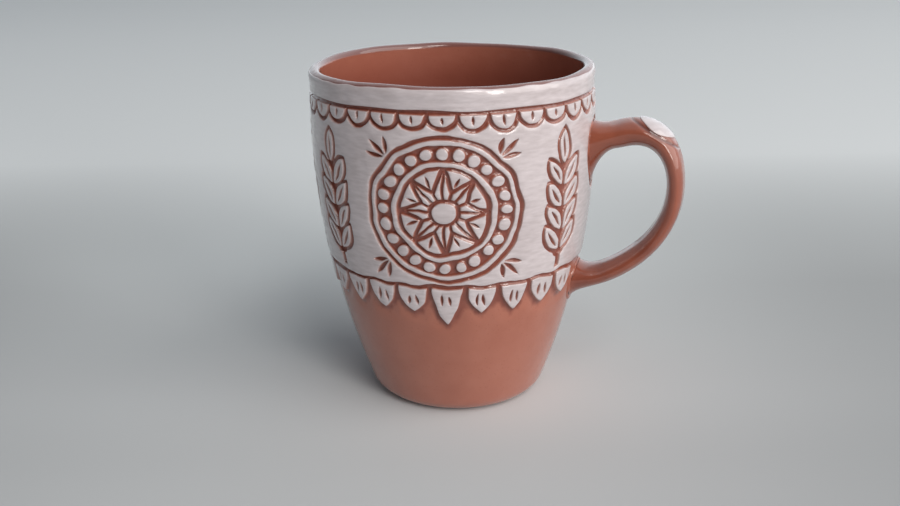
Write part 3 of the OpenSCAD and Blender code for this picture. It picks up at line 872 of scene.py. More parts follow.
inner_bow = BOW_R - WALL_T
opening = HEIGHT - OPENING_H
corner = rounding(INSIDE_ROUND, FLOOR_T, inner_bow)
floor_r = np.linspace(0, corner[0, 0], FLOOR_POINTS)
floor_line = np.stack([floor_r, 0 * floor_r + FLOOR_T], 1)
inner_wall = profile_wall(inner_bow, corner[-1, 1], opening, INSIDE_STEP)
cone_low, cone_top = (bow_at(inner_bow, opening), opening), (LIP_R - LIP_HALF, LIP_Z)
cone = np.linspace(cone_low, cone_top, CONE_POINTS)
lip_angle = np.linspace(math.pi, LIP_OVER, LIP_POINTS)
lip = np.stack([LIP_R + LIP_HALF * np.cos(lip_angle), LIP_Z + LIP_HALF * np.sin(lip_angle)], 1)
inside_profile = np.concatenate([floor_line, corner[1:], inner_wall[1:], cone[1:], lip[1:]])
foot = rounding(FOOT_ROUND, 0.0, BOW_R)
foot_r = np.linspace(foot[0, 0], 0, BOTTOM_POINTS)
outer_wall = profile_wall(BOW_R, foot[-1, 1], CHART_LOW, OUTSIDE_STEP)
bottom = np.stack([foot_r, 0 * foot_r], 1)
foot_profile = np.concatenate([outer_wall[::-1], foot[::-1][1:], bottom[1:]])
print(len(inside_profile), "rings inside,", len(foot_profile), "rings at the foot")

# %% [markdown]
# ### Spin the profiles
# Fingertips leave a faint spiral inside, which fades out on the floor and at the mouth. Bump in the
# material could show it, but it is a real shape that bends the reflections, so it is in the mesh.
# Each ring has as many points as the label's edge has columns, so that band and rings meet.

# %% Spin the profiles
THROW_PITCH, THROW_DEEP = 5.2, 0.09
SPIRAL_FROM_R, SPIRAL_FULL_R, SPIRAL_BELOW, SPIRAL_ABOVE = 10, 25, 4, 6


def spun(profile, thrown):
    turn = np.tile(SEAM + FULL_TURN * np.arange(COLUMNS) / COLUMNS, len(profile))
    radius, z = np.repeat(profile[:, 0], COLUMNS), np.repeat(profile[:, 1], COLUMNS)
    spiral = THROW_DEEP * np.sin(FULL_TURN * z / THROW_PITCH + turn)
    mouth = 1 - smooth(opening - SPIRAL_BELOW, opening + SPIRAL_ABOVE, z)
    radius = radius + thrown * spiral * smooth(SPIRAL_FROM_R, SPIRAL_FULL_R, radius) * mouth
    return by_hand(on_cylinder(turn, radius, z))


def grid_faces(rows, columns, closed):
    wide = columns if closed else columns - 1
    row, column = np.meshgrid(np.arange(rows - 1), np.arange(wide), indexing="ij")
    here = (row * columns + column).ravel()
    beside = (row * columns + (column + 1) % columns).ravel()
    return np.stack([here, here + columns, beside + columns, beside], 1).tolist()


inside_points, foot_points = spun(inside_profile, 1.0), spun(foot_profile, 0.0)
print(len(inside_points), "points inside,", len(foot_points), "points on the foot")

# %% [markdown]
# ### The cup in one piece
# A thrown cup is one lump of clay. Band, inside and foot could stay three objects, but light would
# show the seams between them, so they are welded into one. Two marks go with its points: how dark
# it is, from glaze pooled in the grooves and from painted shade inside the cup, which is lighter
# towards the mouth, and how far it belongs to the rim.

# %% Thrown cup
# Inside the cup the dark mark is painted shade, full deep down and half as strong at the mouth.
POOL_NEAR, POOL_FAR, INSIDE_PAINTED_SHADE, MOUTH_SHADE_LIFT = 0.7, 2.2, 0.8, 0.5
RIM_BELOW, RIM_ABOVE, RIM_TOP = 0.5, 0.6, 0.4
cup_points = np.concatenate([band_points, inside_points, foot_points])
cup_faces = clay_faces.tolist()
before = len(band_points)
for profile in (inside_profile, foot_profile):
    cup_faces += [[v + before for v in face] for face in grid_faces(len(profile), COLUMNS, True)]
    before += len(profile) * COLUMNS
pooled_band = clay_depth / GROOVE_DEEP * (1 - smooth(POOL_NEAR, POOL_FAR, clay_gap))
# Painted shade inside the cup, lighter towards the mouth; it uses the pooled-glaze tone.
painted_shade_inside = INSIDE_PAINTED_SHADE * (1 - MOUTH_SHADE_LIFT * smooth(opening, HEIGHT, inside_points[:, 2]))
rim_band = smooth(LIP_Z - RIM_BELOW, LIP_Z + RIM_ABOVE, clay_flat[:, 1])
rim_inside = smooth(LIP_Z, HEIGHT - RIM_TOP, inside_points[:, 2])
plain_foot = np.zeros(len(foot_points))
make_piece(
    "thrown_cup", cup_points, cup_faces, "cup_body", "red_clay",
    carved=np.concatenate([pooled_band, painted_shade_inside, plain_foot]),
    rim=np.concatenate([rim_band, rim_inside, plain_foot]),
)

# %% [markdown]
# ## The height of the slip
# Slip is brushed on, so it stands about half a millimetre proud and its top is never dead flat. The
# carving tool leaves its edge slightly rounded, the glaze softens it more, and over the lip the
# brush runs dry and the coat feathers out. A solidify modifier would give one even thickness, so
# the height comes from the distance to the edge instead.

# %% Lay the slip on the wall
SLIP_T, SLIP_EDGE, EDGE_ROUND = 0.6, 0.3, 0.4
BRUSHED, BRUSHED_SEED, BRUSHED_LEN = 0.035, 51, 5
LIP_FEATHER, LIP_THIN = 0.75, 0.9
SKIRT = 0.35
SLIP_LEVELS, SLIP_FILL, SLIP_CLEAR = [-0.13, -0.38], 1.25, 0.75
slip_flat, slip_faces, slip_middle = triangulate(
    SLIP_LEVELS, SLIP_FILL, lambda gap: gap < -SLIP_CLEAR
)
slip_gap, _ = measure(slip_flat)
slip_z = slip_flat[:, 1]


def slip_lift(gap, turn, z):
    share = np.clip(-gap / EDGE_ROUND, 0, 1)
    crown = np.sqrt(1 - (1 - share) ** 2)
    brushed = BRUSHED * share * waves(turn, z, BRUSHED_SEED, BRUSHED_LEN)
    lift = SLIP_EDGE + (SLIP_T - SLIP_EDGE) * crown + brushed
    return lift * (1 - LIP_FEATHER * smooth(LIP_Z - LIP_HALF, SLIP_OVER, z))


slip_points = wrap(slip_flat, slip_lift(slip_gap, slip_flat[:, 0] / CHART_R, slip_z))
skirt_points = wrap(slip_flat, np.full(len(slip_flat), -SKIRT))
thin_edge = 1 - np.clip(-slip_gap / EDGE_ROUND, 0, 1)
thin = np.maximum(thin_edge, LIP_THIN * smooth(LIP_Z, CHART_TOP, slip_z))
print("slip layer:", len(slip_faces), "triangles")

# %% [markdown]
# ## The islands of slip
# Carving has parted the coat into islands, and each kind stands for one CAD node. An open cap would
# show a gap at its edge when seen from the side. So every island gets a skirt: a wall from its rim
# down past the clay.


# %% Caps with skirts
def with_skirt(faces, points, lower, marks):
    """A cap of triangles with a wall down from its open edges."""
    used, local = np.unique(faces, return_inverse=True)
    local = local.reshape(-1, 3)
    _, same = np.unique(weld_cell(points[used]), axis=0, return_inverse=True)
    sides = np.concatenate([local[:, [0, 1]], local[:, [1, 2]], local[:, [2, 0]]])
    keys = same.ravel()[sides]
    key = keys.min(1).astype(np.int64) * len(used) + keys.max(1)
    _, index, count = np.unique(key, return_index=True, return_counts=True)
    rim = sides[index[count == 1]]
    walls = np.stack([rim[:, 1], rim[:, 0], rim[:, 0] + len(used), rim[:, 1] + len(used)], 1)
    return (
        np.concatenate([points[used], lower[used]]),
        local.tolist() + walls.tolist(),
        np.concatenate([marks[used], np.ones(len(used))]),
    )


middle_gap, middle_owner = measure(slip_middle)
for number, node in enumerate(NODES):
    own = slip_faces[(middle_owner == number) & (middle_gap < 0)]
    points, faces, edge = with_skirt(own, slip_points, skirt_points, thin)
    make_piece("slip_" + node, points, faces, node, "white_slip", thin=edge)

# %% [markdown]
# ## The pulled handle
# A handle is pulled from a lump of wet clay into a strap, bent into an ear and pressed on. Its
# middle line is three Bézier curves in the plane through the axis: from the upper root to the
# crown, round to the outermost place, and back to the lower root. A curve object could hold them,
# but the sweep asks for the place and the direction anywhere on the line, so they are formulas.

# %% Middle line of the strap
STRAP_T = 5.4
UPPER_FLARE, LOWER_FLARE = 6.5, 10.0
UPPER_Z, LOWER_Z = ROOTS["upper"][2], ROOTS["lower"][2]
START_RISE, CROWN_OUT, CROWN_RISE, OUTER_RISE, END_RISE = 5.5, 13.7, 6.9, 11.5, 3.5
START_PULL, BEND_PULL, FALL_PULL, ARM_PULL = 0.42, 0.6, 0.45, 0.34
ARM_SLOPE = math.radians(26)
upper_wall, lower_wall = bow_at(BOW_R, UPPER_Z), bow_at(BOW_R, LOWER_Z)
start = np.array([upper_wall + UPPER_FLARE, UPPER_Z + START_RISE])
crown = np.array([upper_wall + CROWN_OUT, UPPER_Z + CROWN_RISE])
outer_side = np.array([span("handle")[1][0] - STRAP_T / 2, (UPPER_Z + LOWER_Z) / 2 + OUTER_RISE])
end = np.array([lower_wall + LOWER_FLARE, LOWER_Z + END_RISE])
bend = BEND_PULL * (outer_side - crown)
fall = outer_side[1] - LOWER_Z
arm_way = np.array([math.cos(ARM_SLOPE), math.sin(ARM_SLOPE)])
before_crown = crown - (START_PULL * (crown[0] - start[0]), 0)
ARMS = [
    (start, start + START_PULL * (crown - start), before_crown, crown),
    (crown, crown + (bend[0], 0), outer_side - (0, bend[1]), outer_side),
    (outer_side, outer_side - (0, FALL_PULL * fall), end + ARM_PULL * fall * arm_way, end),
]


def bezier(p, t):
    """Place on a curve with four control points, from its start at t 0 to its end at t 1."""
    near_start = (1 - t) ** 3 * p[0] + 3 * t * (1 - t) ** 2 * p[1]
    return near_start + 3 * t * t * (1 - t) * p[2] + t**3 * p[3]


def bezier_way(p, t):
    """Direction of the curve there, with a length of one."""
    way = (1 - t) ** 2 * (p[1] - p[0]) + 2 * t * (1 - t) * (p[2] - p[1]) + t * t * (p[3] - p[2])
    return way / np.linalg.norm(way)


print(f"handle reaches {outer_side[0] + STRAP_T / 2 - upper_wall:.1f} mm past the wall")

# %% [markdown]
# ### Section of the strap
# The strap is an oval: thick at the crown, thinner at the outermost place, a little thicker again
# at the lower arm, and of one width all along. A curve's bevel scales its section as a whole, so it
# can't thin a strap and keep its width. Here thickness and width are set apart.

# %% Section of the strap
STRAP_W, CROWN_T, ARM_T = 13.0, 8.2, 6.4
ARM_THICK = [(CROWN_T, CROWN_T), (CROWN_T, STRAP_T), (STRAP_T, ARM_T)]


def strap_points(arm, t, side, lift):
    """Points of the strap's skin; side 0 lies on the outer face, a quarter turn towards +Y."""
    middle, way = bezier(ARMS[arm], t), bezier_way(ARMS[arm], t)
    first, last = ARM_THICK[arm]
    thick = first + (last - first) * t * t * (3 - 2 * t)
    across, wide = (thick / 2 + lift) * np.cos(side), (STRAP_W / 2 + lift) * np.sin(side)
    return np.stack([middle[0] - way[1] * across, wide, middle[1] + way[0] * across], 1)


print(f"strap {STRAP_W:.1f} mm wide, {CROWN_T:.1f} mm thick at the crown, then {STRAP_T:.1f} mm")

# %% [markdown]
# ### The almond on the strap
# A small almond of slip sits on the bend of the strap, with a groove drawn round it. Both follow
# from one distance, measured along the strap's skin, so the groove keeps the same width all round.
# A second drawing on a label of its own would be more work for one small mark.

# %% Distance to the almond on the strap
BEND_LEN = np.linalg.norm(outer_side - crown)
ALMOND_LEN, ALMOND_START, ALMOND_EDGE = 9.0, 0.2, 0.8
ALMOND_SPREAD = math.asin(1 - 2 * ALMOND_EDGE / STRAP_W)
SKIN_R, SKIN_SLOPE, ALMOND_BLUNT = 4.6, 0.75, 0.6


def almond_gap(along, side, tip_before, tip_after, wider):
    """Distance to the almond's edge along the strap's skin, negative inside."""
    length = ALMOND_LEN + tip_before + tip_after
    place = (along - ALMOND_START + tip_before) / length
    inside = np.clip(place, 0, 1)
    reach = ALMOND_SPREAD * np.sin(math.pi * inside) ** ALMOND_BLUNT * (SKIN_R + wider)
    return (np.abs(side) * SKIN_R - reach) * SKIN_SLOPE + np.abs(place - inside) * length


print(f"almond {ALMOND_LEN:.0f} mm long on a bend of {BEND_LEN:.1f} mm")

# %% [markdown]
# ### Sweep the handle
# Near the wall the potter smears the strap out into a drop-shaped root. Joining a tube to a wall
# with a boolean leaves a hard line. Here each point of the first and last section slides along its
# own curve to the outline of the root, which makes a soft flare. Faint lengthwise marks are left by
# the wet hand that pulled the strap.

# %% Pulled handle
SIDES, FLARE_STEPS, ARM_STEPS = 64, 20, (24, 80, 60)
FLARE_SLIDE, FLARE_LIFT, FLARE_PULL = 0.45, 0.4, 0.55
BORDER_BEFORE, BORDER_AFTER, BORDER_WIDER, BORDER_DEEP, BORDER_HALF = 1.6, 2.4, 0.5, 0.36, 0.5
WIDE_MARK, WIDE_COUNT, WIDE_TWIST = 0.05, 5, 3
FINE_MARK, FINE_COUNT, FINE_PHASE = 0.04, 9, 1.0
START_LEN = np.linalg.norm(crown - start)
side_angle = FULL_TURN * np.arange(SIDES) / SIDES
centred = (side_angle + math.pi) % FULL_TURN - math.pi


def laid_on_wall(outline, lift):
    radius = bow_at(BOW_R, outline[:, 1]) + lift
    return np.stack([np.sqrt(radius**2 - outline[:, 0] ** 2), outline[:, 0], outline[:, 1]], 1)


def flare(foot_ring, ring, inwards, length, share):
    slide = foot_ring + FLARE_SLIDE * (ring - foot_ring)
    low = np.stack([foot_ring[:, 0] + FLARE_LIFT, slide[:, 1], slide[:, 2]], 1)
    high = ring + FLARE_PULL * length * np.array([inwards[0], 0, inwards[1]])
    return bezier([foot_ring, low, high, ring], share)


upper_foot = laid_on_wall(root_outline(ROOTS["upper"], 0, side_angle), JOINT_T)
lower_foot = laid_on_wall(root_outline(ROOTS["lower"], 0, math.pi - side_angle), JOINT_T)
first_ring, last_ring = strap_points(0, 0.0, side_angle, 0), strap_points(2, 1.0, side_angle, 0)
first_way, last_way = -bezier_way(ARMS[0], 0.0), bezier_way(ARMS[2], 1.0)
rings, dents = [], []
for k in range(FLARE_STEPS):
    rings.append(flare(upper_foot, first_ring, first_way, UPPER_FLARE, k / FLARE_STEPS))
    dents.append(0 * side_angle)
for arm, steps in enumerate(ARM_STEPS):
    for k in range(steps):
        t = k / steps
        place = [(t - 1) * START_LEN, t * BEND_LEN, BEND_LEN * (1 + t)][arm]
        gap = almond_gap(place, centred, BORDER_BEFORE, BORDER_AFTER, BORDER_WIDER)
        dent = np.exp(-((gap / BORDER_HALF) ** 2))
        pulled = WIDE_MARK * np.sin(WIDE_COUNT * side_angle + WIDE_TWIST * (arm + t))
        pulled = pulled + FINE_MARK * np.sin(FINE_COUNT * side_angle + FINE_PHASE)
        rings.append(strap_points(arm, t, side_angle, pulled - BORDER_DEEP * dent))
        dents.append(dent)
for k in range(FLARE_STEPS + 1):
    rings.append(flare(lower_foot, last_ring, last_way, LOWER_FLARE, 1 - k / FLARE_STEPS))
    dents.append(0 * side_angle)
handle_faces = grid_faces(len(rings), SIDES, True)
handle_faces.append(list(range(SIDES))[::-1])
handle_faces.append([(len(rings) - 1) * SIDES + k for k in range(SIDES)])
make_piece(
    "pulled_handle", by_hand(np.concatenate(rings)), handle_faces, "handle", "red_clay",
    carved=np.concatenate(dents),
)

# %% [markdown]
# ### Slip on the handle
# The almond is a thin dab of white slip, thinner than the coat on the wall. It could be a patch of
# colour in the handle's material, but the real dab has an edge that catches the light. So it is a
# small grid on the strap's skin, narrow at its tips, with the same skirt as the other islands.

# %% Slip almond on the handle
HANDLE_SLIP_EDGE, HANDLE_SLIP_T = 0.06, 0.24
ROWS_ALONG, ROWS_AROUND, TIP_CUT = 48, 32, 0.004
round_share = np.sin(np.linspace(-math.pi / 2, math.pi / 2, ROWS_AROUND + 1))
slip_rows, slip_low, slip_thin = [], [], []
for k in range(ROWS_ALONG + 1):
    t = ALMOND_START / BEND_LEN + ALMOND_LEN / BEND_LEN * k / ROWS_ALONG
    place = min(max(k / ROWS_ALONG, TIP_CUT), 1 - TIP_CUT)
    side = ALMOND_SPREAD * math.sin(math.pi * place) ** ALMOND_BLUNT * round_share
    share = np.clip(-almond_gap(t * BEND_LEN, side, 0, 0, 0) / EDGE_ROUND, 0, 1)
    lift = HANDLE_SLIP_EDGE + HANDLE_SLIP_T * np.sqrt(1 - (1 - share) ** 2)
    slip_rows.append(strap_points(1, t, side, lift))
    slip_low.append(strap_points(1, t, side, np.full(len(side), -SKIRT)))
    slip_thin.append(1 - share)
cap = np.array(grid_faces(ROWS_ALONG + 1, ROWS_AROUND + 1, False))
cap = np.concatenate([cap[:, [0, 1, 2]], cap[:, [0, 2, 3]]])
top, low = by_hand(np.concatenate(slip_rows)), by_hand(np.concatenate(slip_low))
points, faces, edge = with_skirt(cap, top, low, np.concatenate(slip_thin))
make_piece("slip_on_handle", points, faces, "handle_slip", "white_slip", thin=edge)

# %% [markdown]
# ## Beads of joining slip
# Where the handle is pressed on, the slip that glues it is squeezed out as a small bead. A
# modelling tool rounds it off, so it is a low swelling round each root, a little lumpy. A torus
# would float off the bowed wall, so rows of the root's outline are laid on the wall at rising and
# falling heights.

# %% Beads round the roots
SQUEEZE_STEPS, SQUEEZE_SIDES = 10, 96
SQUEEZE_OUT, SQUEEZE_RISE, SQUEEZE_SINK = 0.15, 0.12, 0.15
BIG_LUMP, BIG_COUNT, SMALL_LUMP, SMALL_COUNT = 0.18, 7, 0.12, 13
around = np.linspace(0, FULL_TURN, SQUEEZE_SIDES, endpoint=False)
for name, root in ROOTS.items():
    lumps = 1 + BIG_LUMP * np.sin(BIG_COUNT * around + root[2]) + SMALL_LUMP * np.sin(SMALL_COUNT * around)
    rows = []
    for grow in np.linspace(-JOINT_BEAD, JOINT_BEAD + SQUEEZE_OUT, SQUEEZE_STEPS):
        share = np.clip(grow / (JOINT_BEAD + SQUEEZE_OUT), 0, 1)
        lift = (JOINT_T + SQUEEZE_RISE) * np.sqrt(1 - share**2) * lumps - SQUEEZE_SINK
        rows.append(laid_on_wall(root_outline(root, grow, around), lift))
    make_piece(
        f"{name}_bead", by_hand(np.concatenate(rows)), grid_faces(SQUEEZE_STEPS, SQUEEZE_SIDES, True),
        f"{name}_joint", "joining_slip",
    )

# %% [markdown]
# ## Materials
# A material starts from what the real one is. Colours are written as sRGB hex values, the way a
# picture shows them, and one function turns them to the linear values that the renderer needs.
# Nodes could be set by hand in the editor, but one small function that adds a node with its
# settings and links keeps each material in a few readable lines.


# %% Tools for materials
def linear(hex_colour):
    """Linear colour from an sRGB hex value, by the formula of the sRGB standard."""
    parts = [int(hex_colour[i : i + 2], 16) / 255 for i in (1, 3, 5)]
    return (*[c / 12.92 if c <= 0.04045 else ((c + 0.055) / 1.055) ** 2.4 for c in parts], 1.0)


def add(tree, kind, inputs=(), **settings):
    """A node with its settings; an input is a value, or an output of another node to link."""
    node = tree.nodes.new(kind)
    for key, value in settings.items():
        setattr(node, key, value)
    for key, value in dict(inputs).items():
        if isinstance(value, bpy.types.NodeSocket):
            tree.links.new(value, node.inputs[key])
        else:
            node.inputs[key].default_value = value
    return node


def new_material(name):
    material = bpy.data.materials.new(name)
    material.use_nodes = True
    material.node_tree.nodes.clear()
    return material, material.node_tree


def per_metre(size_mm):
    """Scale of a noise whose blotches are about this wide."""
    return 1 / (size_mm * MM)


print("middle grey #808080 is", round(linear("#808080")[0], 3), "in linear light")

# %% [markdown]
# ### Clear glaze
# The glaze is a thin coat of glass, fired onto clay and slip alike. It gives the eye one sharp
# reflection on top of the matt clay. A second shell of glass could be modelled, but the shader's
# coat is the same clear layer without another mesh. `layer` lays one tone over another where a
# measure, such as the depth of a groove, calls for it.

# %% Clear glaze and layers of tone
GLAZE_IOR, GLAZE_ROUGH = 1.6, 0.06


def layer(tree, under, amount, edge, shows, over):
    """A tone over another; between the two amounts of edge its share goes as shows tells."""
    share = add(
        tree, "ShaderNodeMapRange",
        {
            "Value": amount, "From Min": edge[0], "From Max": edge[1],
            "To Min": shows[0], "To Max": shows[1],
        },
    ).outputs["Result"]
    tones = {"Factor": share, "A": under, "B": linear(over)}
    return add(tree, "ShaderNodeMix", tones, data_type="RGBA").outputs["Result"]


def glazed(tree, colour, rough, ripple, strength, high, under_gloss):
    """The finish of a clay under the glaze; ripple gives the rise and fall of its skin."""
    bump = add(tree, "ShaderNodeBump", {"Height": ripple, "Strength": strength, "Distance": high})
    skin = bump.outputs["Normal"]
    shader = add(
        tree, "ShaderNodeBsdfPrincipled",
        {
            "Base Color": colour, "Roughness": rough, "Normal": skin, "Coat Normal": skin,
            "Specular IOR Level": under_gloss, "Coat Weight": 1.0,
            "Coat Roughness": GLAZE_ROUGH, "Coat IOR": GLAZE_IOR,
        },
    )
    add(tree, "ShaderNodeOutputMaterial", {"Surface": shader.outputs["BSDF"]})


print("glaze: refractive index", GLAZE_IOR, "and roughness", GLAZE_ROUGH)

# %% [markdown]
# ### Red earthenware
# Iron-rich clay fires to a brick red. Its tone drifts in patches of about a centimetre, grog, which
# is crushed fired clay, shows as faint specks of about half a millimetre, and glaze that has pooled
# in the carved lines makes them darker. The same dark tone is laid inside the cup as painted shade.
# The lip is a darker mauve brown. A flat colour would look like plastic, so each of these is a layer
# over the one before. The handle's glaze is thicker and more mottled, and the joining slip is a
# little darker, so each has tones of its own.

# %% Glazed red earthenware
CLAY_LIGHT, CLAY_DARK = "#AF6F5C", "#9A5946"
# The clay's pooled tone also serves as painted shade inside the cup.
CLAY_POOLED_AND_SHADED, CLAY_RIM, GROG = "#783B2F", "#654341", "#7A3F31"
HANDLE_LIGHT, HANDLE_DARK, HANDLE_POOLED = "#A65C44", "#6E3628", "#5C2A20"
JOINT_LIGHT, JOINT_DARK = "#A5634F", "#8E4E3C"
PATCH, PATCH_DETAIL, GROG_APART = 11, 4.0, 1.4
SPECK_EDGE, SPECK_SHOWS = (0.10, 0.22), (0.22, 0.0)
POOL_AND_SHADE_EDGE, POOL_AND_SHADE_SHOWS = (0.1, 0.9), (0.0, 0.85)
RIM_EDGE, RIM_SHOWS = (0.2, 0.8), (0.0, 0.75)
RIPPLE, RIPPLE_DETAIL, RIPPLE_STRENGTH, RIPPLE_HIGH = 4.5, 3.0, 0.25, 0.0004
CLAY_SMOOTH, CLAY_ROUGH = 0.36, 0.52
UNDER_GLOSS, HANDLE_UNDER_GLOSS = 0.1, 0.22


def red_earthenware(name, light, dark, groove, under_gloss):
    material, tree = new_material(name)
    place = add(tree, "ShaderNodeTexCoord").outputs["Object"]
    patch = add(
        tree, "ShaderNodeTexNoise",
        {"Vector": place, "Scale": per_metre(PATCH), "Detail": PATCH_DETAIL},
    ).outputs["Fac"]
    tones = {"Factor": patch, "A": linear(light), "B": linear(dark)}
    colour = add(tree, "ShaderNodeMix", tones, data_type="RGBA").outputs["Result"]
    speck = add(tree, "ShaderNodeTexVoronoi", {"Vector": place, "Scale": per_metre(GROG_APART)})
    carved = add(tree, "ShaderNodeAttribute", attribute_name="carved")
    rim = add(tree, "ShaderNodeAttribute", attribute_name="rim")
    colour = layer(tree, colour, speck.outputs["Distance"], SPECK_EDGE, SPECK_SHOWS, GROG)
    # This layer is glaze pooled in grooves, and painted shade on the inside of the cup.
    colour = layer(tree, colour, carved.outputs["Fac"], POOL_AND_SHADE_EDGE, POOL_AND_SHADE_SHOWS, groove)
    colour = layer(tree, colour, rim.outputs["Fac"], RIM_EDGE, RIM_SHOWS, CLAY_RIM)
    ripple = add(
        tree, "ShaderNodeTexNoise",
        {"Vector": place, "Scale": per_metre(RIPPLE), "Detail": RIPPLE_DETAIL},
    ).outputs["Fac"]
    rough = add(
        tree, "ShaderNodeMapRange", {"Value": patch, "To Min": CLAY_SMOOTH, "To Max": CLAY_ROUGH}
    ).outputs["Result"]
    glazed(tree, colour, rough, ripple, RIPPLE_STRENGTH, RIPPLE_HIGH, under_gloss)
    return material


clay = red_earthenware("glazed_red_earthenware", CLAY_LIGHT, CLAY_DARK, CLAY_POOLED_AND_SHADED, UNDER_GLOSS)
handle_clay = red_earthenware(
    "thickly_glazed_red_earthenware", HANDLE_LIGHT, HANDLE_DARK, HANDLE_POOLED, HANDLE_UNDER_GLOSS
)
joining_slip = red_earthenware("glazed_joining_slip", JOINT_LIGHT, JOINT_DARK, CLAY_POOLED_AND_SHADED, UNDER_GLOSS)
print("red clay in three tones:", clay.name, handle_clay.name, joining_slip.name)

# %% [markdown]
# ### White slip under the same glaze
# Slip is a white-firing clay, brushed on. Where the coat is thin, at every carved edge and over the
# lip, the red clay tints it pink. Brush marks make faint bands of thicker and thinner white, and
# the glaze is the same clear coat as on the red clay. A wave texture would give bands that are too
# regular, so a noise is stretched sideways, the way the brush went round the turning mug.

# %% Glazed white slip
SLIP_WHITE, SLIP_GREY, SLIP_TINTED = "#D1C7C9", "#B8ADAE", "#AC8176"
BRUSH, BRUSH_STRETCH, SLIP_PATCH, SLIP_DETAIL = 1.6, (0.35, 0.35, 1.6), 14, 3.0
PATCH_PART, WHITE_UP_TO, GREY_FROM = 0.4, 0.32, 0.68
TINT_EDGE, TINT_SHOWS = (0.45, 1.0), (0.0, 0.8)
BRUSH_STRENGTH, BRUSH_HIGH, SLIP_ROUGH = 0.24, 0.0003, 0.45
white, tree = new_material("glazed_white_slip")
place = add(tree, "ShaderNodeTexCoord").outputs["Object"]
stretch = add(tree, "ShaderNodeMapping", {"Vector": place, "Scale": BRUSH_STRETCH})
brush = add(
    tree, "ShaderNodeTexNoise",
    {"Vector": stretch.outputs["Vector"], "Scale": per_metre(BRUSH), "Detail": SLIP_DETAIL},
).outputs["Fac"]
patch = add(
    tree, "ShaderNodeTexNoise",
    {"Vector": place, "Scale": per_metre(SLIP_PATCH), "Detail": SLIP_DETAIL},
).outputs["Fac"]
both = add(tree, "ShaderNodeMix", {"Factor": PATCH_PART, "A": brush, "B": patch})
coat = add(
    tree, "ShaderNodeMapRange",
    {"Value": both.outputs["Result"], "From Min": WHITE_UP_TO, "From Max": GREY_FROM},
).outputs["Result"]
tones = {"Factor": coat, "A": linear(SLIP_WHITE), "B": linear(SLIP_GREY)}
colour = add(tree, "ShaderNodeMix", tones, data_type="RGBA").outputs["Result"]
thin_mark = add(tree, "ShaderNodeAttribute", attribute_name="thin")
colour = layer(tree, colour, thin_mark.outputs["Fac"], TINT_EDGE, TINT_SHOWS, SLIP_TINTED)
glazed(tree, colour, SLIP_ROUGH, brush, BRUSH_STRENGTH, BRUSH_HIGH, UNDER_GLOSS)
print("white slip:", len(tree.nodes), "nodes")

# %% [markdown]
# ### Put the finishes on the pieces
# Each piece is of one clay all over, so it takes one material. Faces could choose among several
# materials, but the marks on the points already tell grooves, rim and thin edges apart.

# %% Finishes
FINISHES = {"slip": white, "bead": joining_slip, "handle": handle_clay, "cup": clay}
for name, piece in pieces.items():
    kind = "slip" if name.startswith("slip_") else name.split("_")[-1]
    piece.data.materials.append(FINISHES[kind])
print("materials:", ", ".join(material.name for material in FINISHES.values()))

# %% [markdown]
# ## The paper floor
# The mug stands on pale matt paper. Its colour holds painted light: painted shade makes it a little
# darker in front and at the sides, and painted light makes it brighter towards the back. A bent
# backdrop with many lamps could give that fall of light, but then it would depend on the lamps. One
# wide floor that takes the shadow, with the painted light laid out along its depth and width, is
# simpler and looks calm from every side.

# %% Paper floor
VIEW_AZ = math.radians(15.0)
FLOOR_HALF = 4.0
floor_mesh = bpy.data.meshes.new("paper_floor")
floor_corners = [(-1, -1), (1, -1), (1, 1), (-1, 1)]
floor_mesh.from_pydata(
    [(x * FLOOR_HALF, y * FLOOR_HALF, 0) for x, y in floor_corners], [], [(0, 1, 2, 3)]
)
floor = bpy.data.objects.new("paper_floor", floor_mesh)
floor.rotation_euler.z = VIEW_AZ
bpy.context.scene.collection.objects.link(floor)
print(f"floor {2 * FLOOR_HALF:.0f} m wide")

# %% [markdown]
# ### Matt paper
# Paper is pressed fibre: it is matt and nearly white, and at this distance its fibres don't show. A
# colour ramp paints light into it from front to back, in metres behind the mug, and a painted shade
# comes in at both sides. An image could hold the same painted light, but a ramp has no pixels.

# %% Matt paper
PAPER_FRONT, PAPER_REACH, PAPER_ROUGH = 0.1, 1.0, 0.9
# Painted light: the paper's colour is darker in front and brighter towards the back.
PAINTED_LIGHT_ON_PAPER = [
    (-0.06, "#C4C7C9"), (-0.01, "#D2D5D7"), (0.04, "#D3D7D9"),
    (0.12, "#DBE0E2"), (0.34, "#EEF2F4"), (1.0, "#F1F5F7"),
]
# Painted shade at both sides of the floor, strongest in front and gone further back.
PAINTED_SHADE_AT_SIDES, ASIDE_FROM, ASIDE_FULL, ASIDE_MOST = "#A3A6A8", 0.03, 0.22, 0.8
ASIDE_NEAR, ASIDE_FAR, ASIDE_SHIFT = 0.08, 0.3, (0.035, 0, 0)
paper, tree = new_material("matt_paper")
place = add(tree, "ShaderNodeTexCoord").outputs["Object"]
shifted = add(tree, "ShaderNodeVectorMath", {0: place, 1: ASIDE_SHIFT})
axes = add(tree, "ShaderNodeSeparateXYZ", {"Vector": shifted.outputs["Vector"]})
depth = add(
    tree, "ShaderNodeMapRange",
    {"Value": axes.outputs["Y"], "From Min": -PAPER_FRONT, "From Max": PAPER_REACH},
)
sweep = add(tree, "ShaderNodeValToRGB", {"Fac": depth.outputs["Result"]})
ramp = sweep.color_ramp
ramp.interpolation = "EASE"
for stop, (behind, tone) in enumerate(PAINTED_LIGHT_ON_PAPER):
    if stop > 1:
        ramp.elements.new(1.0)
    ramp.elements[stop].position = (behind + PAPER_FRONT) / (PAPER_REACH + PAPER_FRONT)
    ramp.elements[stop].color = linear(tone)
